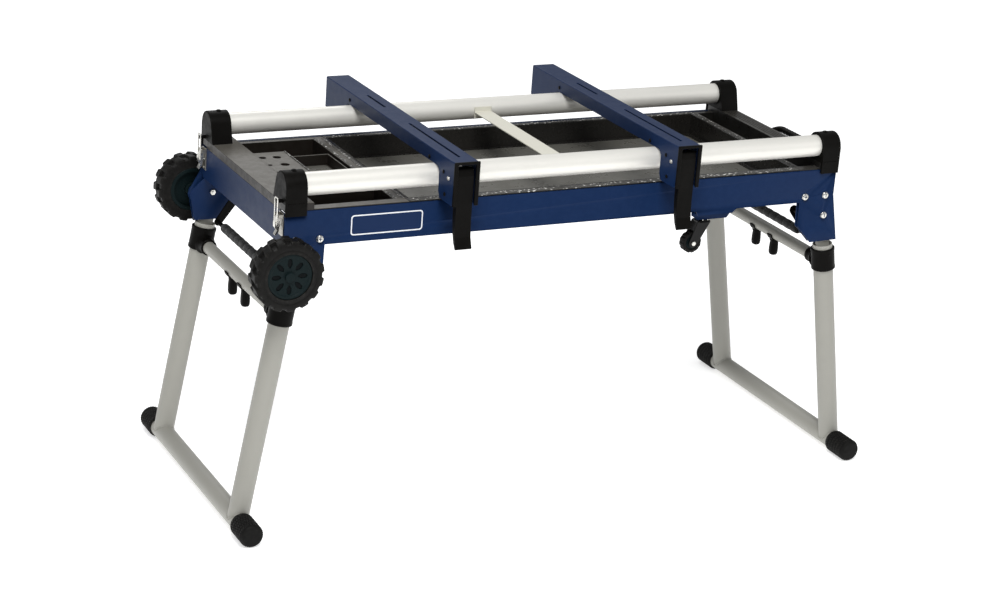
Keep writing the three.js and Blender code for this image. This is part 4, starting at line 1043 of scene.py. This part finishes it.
def hub_shape():
    face, back = -330.0, -285.0
    depth = back - face
    profile = [
        (0, -4), (8.6, -4), (10.4, -3.2), (11, -2), (11, 1.6), (13, 2.2), (40, 2.2), (42, 1.6), (43.4, 0.2),
        (44.2, 0), (48.8, 0), (50, 1), (50, depth - 1), (49, depth), (42, depth), (42, depth - 12),
        (14, depth - 12), (14, depth - 0.6), (13.4, depth), (8.3, depth), (8.3, 6), (0, 6),
    ]
    hub = lathe((WHEEL_X, face, WHEEL_Z), (0, 1, 0), profile, 120)
    cutters = []
    for i in range(8):
        petal = fillet([(16, 0), (26, -5.6), (37, -4.6), (40.5, 0), (37, 4.6), (26, 5.6)], 3, 5)
        tool = prism(petal, "y", -3, 5)
        tool.transform(Matrix.Rotation(math.radians(45 * i), 4, "Y"))
        tool.transform(Matrix.Translation((WHEEL_X, face, WHEEL_Z)))
        cutters.append(tool)
    hub = soften(carve(hub, *cutters), 0.5, 2, 50)
    petals = []
    for i in range(8):
        leaf = fillet([(17.5, 0), (26, -4.8), (36.2, -3.9), (39.2, 0), (36.2, 3.9), (26, 4.8)], 2.6, 4)
        inlay = soften(prism(leaf, "y", 3.4, 5.4), 0.6, 2, 50)
        inlay.transform(Matrix.Rotation(math.radians(45 * i), 4, "Y"))
        inlay.transform(Matrix.Translation((WHEEL_X, face, WHEEL_Z)))
        petals.append(inlay)
    return hub, merge(*petals)


def wheels():
    tyre = tyre_shape()
    hub, petals = hub_shape()
    for end, mirror in ENDS:
        emit(f"tyre_{end}_tread", tyre, TYRE, f"wheel_{end}", f"tyre_{end}", mirror, smooth=40)
        emit(f"hub_{end}_moulding", hub, HUB, f"wheel_{end}", f"hub_{end}", mirror)
        emit(f"hub_{end}_petals", petals, PETAL, f"wheel_{end}", mirror=mirror)


# ------------------------------------------------------------------ casters
def casters():
    x, y, _ = JOINTS["caster_front_swivel"]
    y -= SHIFT_Y
    axle_x, _, axle_z = JOINTS["caster_front_roll"]
    tab_z = RAIL_BOTTOM - 20
    crown = tab_z - 24
    gap, thick = 11.5, 3.0
    parts = []
    back, ahead = x - 20, x + 14
    tip = arc(axle_x, axle_z, 11, 150, 345, 20)
    cheek = fillet([(back, crown + 4), (axle_x - 10, axle_z + 6), *tip, (ahead, crown + 4)], 4, 4)
    for s in (-1, 1):
        lo, hi = sorted((y + s * gap, y + s * (gap + thick)))
        parts.append(soften(prism(cheek, "y", lo, hi), 0.9, 3, 45))
    plate = round_rect(back, y - gap - thick, ahead, y + gap + thick, 4, 5)
    parts.append(soften(prism(plate, "z", crown, crown + 4.4), 1.2, 3, 50))
    race = [(0, 4), (13.4, 4), (14.2, 6), (13.2, 9), (12, 10), (12, 20), (13, 21), (13, 23.7), (0, 23.7)]
    parts.append(lathe((x, y, crown), (0, 0, 1), race, 48))
    fork = merge(*parts)
    bright = merge(
        hex_nut((x, y, crown + 5), (0, 0, 1), 25.5, 7.4, 0, 12),
        rod((x, y, crown), (x, y, tab_z + 12), 5, 32),
        hex_nut((x, y, tab_z + 3.8), (0, 0, 1), 13, 6, 0),
        rod((axle_x, y - 18.2, axle_z), (axle_x, y + 18.2, axle_z), 3.9, 32),
        hex_nut((axle_x, y - gap - thick, axle_z), (0, -1, 0), 10, 3.2, 0),
        hex_nut((axle_x, y + gap + thick, axle_z), (0, 1, 0), 10, 3.2, 0),
    )
    seg, ribs = 12 * 12, 12
    bm = bmesh.new()
    rings = []
    rim = CASTER_R - 1.2
    side = [(8, 4.4, 0), (8, 7.6, 0), (8, 15.6, 0), (10, 17.2, 0)]
    side += [(10, rim - 2.3, 0), (9.2, rim - 0.6, 0.4), (7.6, rim, 1)]
    section = [(-t, r, rib) for t, r, rib in side] + side[::-1]
    for t, r, rib in section:
        ring = []
        for k in range(seg):
            a = 2 * math.pi * k / seg
            share = (ribs * k / seg) % 1.0
            radius = r + 1.2 * rib * step_up(share, 0.1) * step_up(0.7 - share, 0.1)
            ring.append(bm.verts.new((axle_x + radius * math.cos(a), y + t, axle_z + radius * math.sin(a))))
        rings.append(ring)
    skin_rings(bm, rings, closed=True)
    bmesh.ops.recalc_face_normals(bm, faces=bm.faces)
    half_disc = [(4.5, -9.2), (7.4, -9.2), (8.4, -8.4), (12, -8.2), (15.4, -8.6)]
    disc_line = half_disc + [(r, -t) for r, t in reversed(half_disc)]
    disc = lathe((axle_x, y, axle_z), (0, 1, 0), disc_line, 48, ring=True)
    for end, mirror in ENDS:
        node = f"caster_fork_{end}"
        emit(f"{node}_steel", fork, FORK, f"caster_{end}", node, mirror)
        emit(f"caster_bolts_{end}", bright, ZINC, f"caster_{end}", mirror=mirror)
        node, body = f"caster_wheel_{end}", f"caster_roller_{end}"
        emit(f"{node}_tread", bm, RUBBER, body, node, mirror)
        emit(f"{node}_disc", disc, HUB, body, mirror=mirror)


# ------------------------------------------------------------------ latches
def latches():
    pin_z = JOINTS["latch_front_lever"][2]
    wire_x, _, wire_z = JOINTS["latch_front_wire"]
    y = -240.0
    high = node_box("latch_wire_front")[1].z - WIRE_R
    half = 7.7
    turns = ((0, wire_z), (-half, wire_z), (-half, high), (half, high), (half, wire_z), (0, wire_z))
    loop = [(wire_x, y + dy, z) for dy, z in turns]
    wire = sweep(round_path(loop, 3.2, 8)[:-1], WIRE_R, 16, closed=True)
    rivet = [(0, -0.2), (2.6, -0.2), (2.4, 0.7), (1.2, 1.2), (0, 1.3)]
    for end, mirror in ENDS:
        base = soften(skin(f"latch_base_{end}"), 0.35, 2, 38)
        lever = skin(f"latch_lever_{end}")
        soften(lever, 0.8, 3, 45)
        # The base plate takes the darker zinc, which is painted shade.
        emit(f"latch_base_{end}_plate", base, SHADED_ZINC, "frame", f"latch_base_{end}")
        emit(f"latch_lever_{end}_press", lever, ZINC, f"latch_{end}", f"latch_lever_{end}")
        emit(f"latch_wire_{end}_loop", wire, ZINC, f"latch_loop_{end}", f"latch_wire_{end}", mirror)
        heads = [lathe((-FRAME_X - 2.1, y, pin_z - d), (-1, 0, 0), rivet, 24) for d in (20, 38)]
        rivets = merge(*heads)
        emit(f"latch_rivets_{end}", rivets, ZINC, "frame", mirror=mirror)


side_rails()
plates()
badge()
trays()
rail_tubes()
caps()
handle()
leg_frames()
leg_clamps()
foot_caps()
pegs()
release_bars()
arms()
wheels()
casters()
latches()


# ------------------------------------------------------------------ floor, light, camera
def surroundings():
    scene = bpy.context.scene
    scene.view_settings.view_transform = "Standard"
    scene.view_settings.look = "None"
    world = bpy.data.worlds.new("studio")
    scene.world = world
    world.use_nodes = True
    world.node_tree.nodes["Background"].inputs["Color"].default_value = (0.98, 0.99, 1, 1)
    world.node_tree.nodes["Background"].inputs["Strength"].default_value = 0.42
    bm = bmesh.new()
    bmesh.ops.create_grid(bm, x_segments=1, y_segments=1, size=60)
    floor = as_object(bm, "studio_floor")
    look = bpy.data.materials.new("studio_floor")
    look.use_nodes = True
    shader = look.node_tree.nodes["Principled BSDF"]
    shader.inputs["Base Color"].default_value = (0.9, 0.9, 0.9, 1)
    shader.inputs["Roughness"].default_value = 0.8
    shader.inputs["Specular IOR Level"].default_value = 0.1
    shader.inputs["Emission Color"].default_value = (1, 1, 1, 1)
    shader.inputs["Emission Strength"].default_value = 0.6
    floor.data.materials.append(look)
    for name, at, size, power in (
        ("key", (-1.2, -2.6, 4.4), 2.4, 170),
        ("fill", (3.6, -2.4, 2.4), 2.6, 14),
        ("back", (0.4, 3.4, 3.4), 2.6, 34),
    ):
        light = bpy.data.lights.new(name, "AREA")
        light.shape, light.size, light.energy = "DISK", size, power
        lamp = bpy.data.objects.new(name, light)
        scene.collection.objects.link(lamp)
        lamp.location = at
        lamp.rotation_mode = "QUATERNION"
        lamp.rotation_quaternion = (Vector((0, 0, 0.6)) - Vector(at)).to_track_quat("-Z", "Y")
    yaw, pitch, roll = (math.radians(a) for a in (27.6586, 20.0199, 4.3032))
    ahead = Vector((math.sin(yaw) * math.cos(pitch), math.cos(yaw) * math.cos(pitch), -math.sin(pitch)))
    level = Vector((math.cos(yaw), -math.sin(yaw), 0))
    rise = level.cross(ahead)
    right = level * math.cos(roll) + rise * math.sin(roll)
    up = rise * math.cos(roll) - level * math.sin(roll)
    camera = bpy.data.cameras.new("camera")
    camera.sensor_width, camera.lens = 36.0, 84.786
    camera.clip_start, camera.clip_end = 0.05, 200
    eye = bpy.data.objects.new("camera", camera)
    scene.collection.objects.link(eye)
    turn = Matrix((right, up, -ahead)).transposed().to_4x4()
    eye.matrix_world = Matrix.Translation((-2.4488, -4.6232, 2.2616)) @ turn
    scene.camera = eye


surroundings()
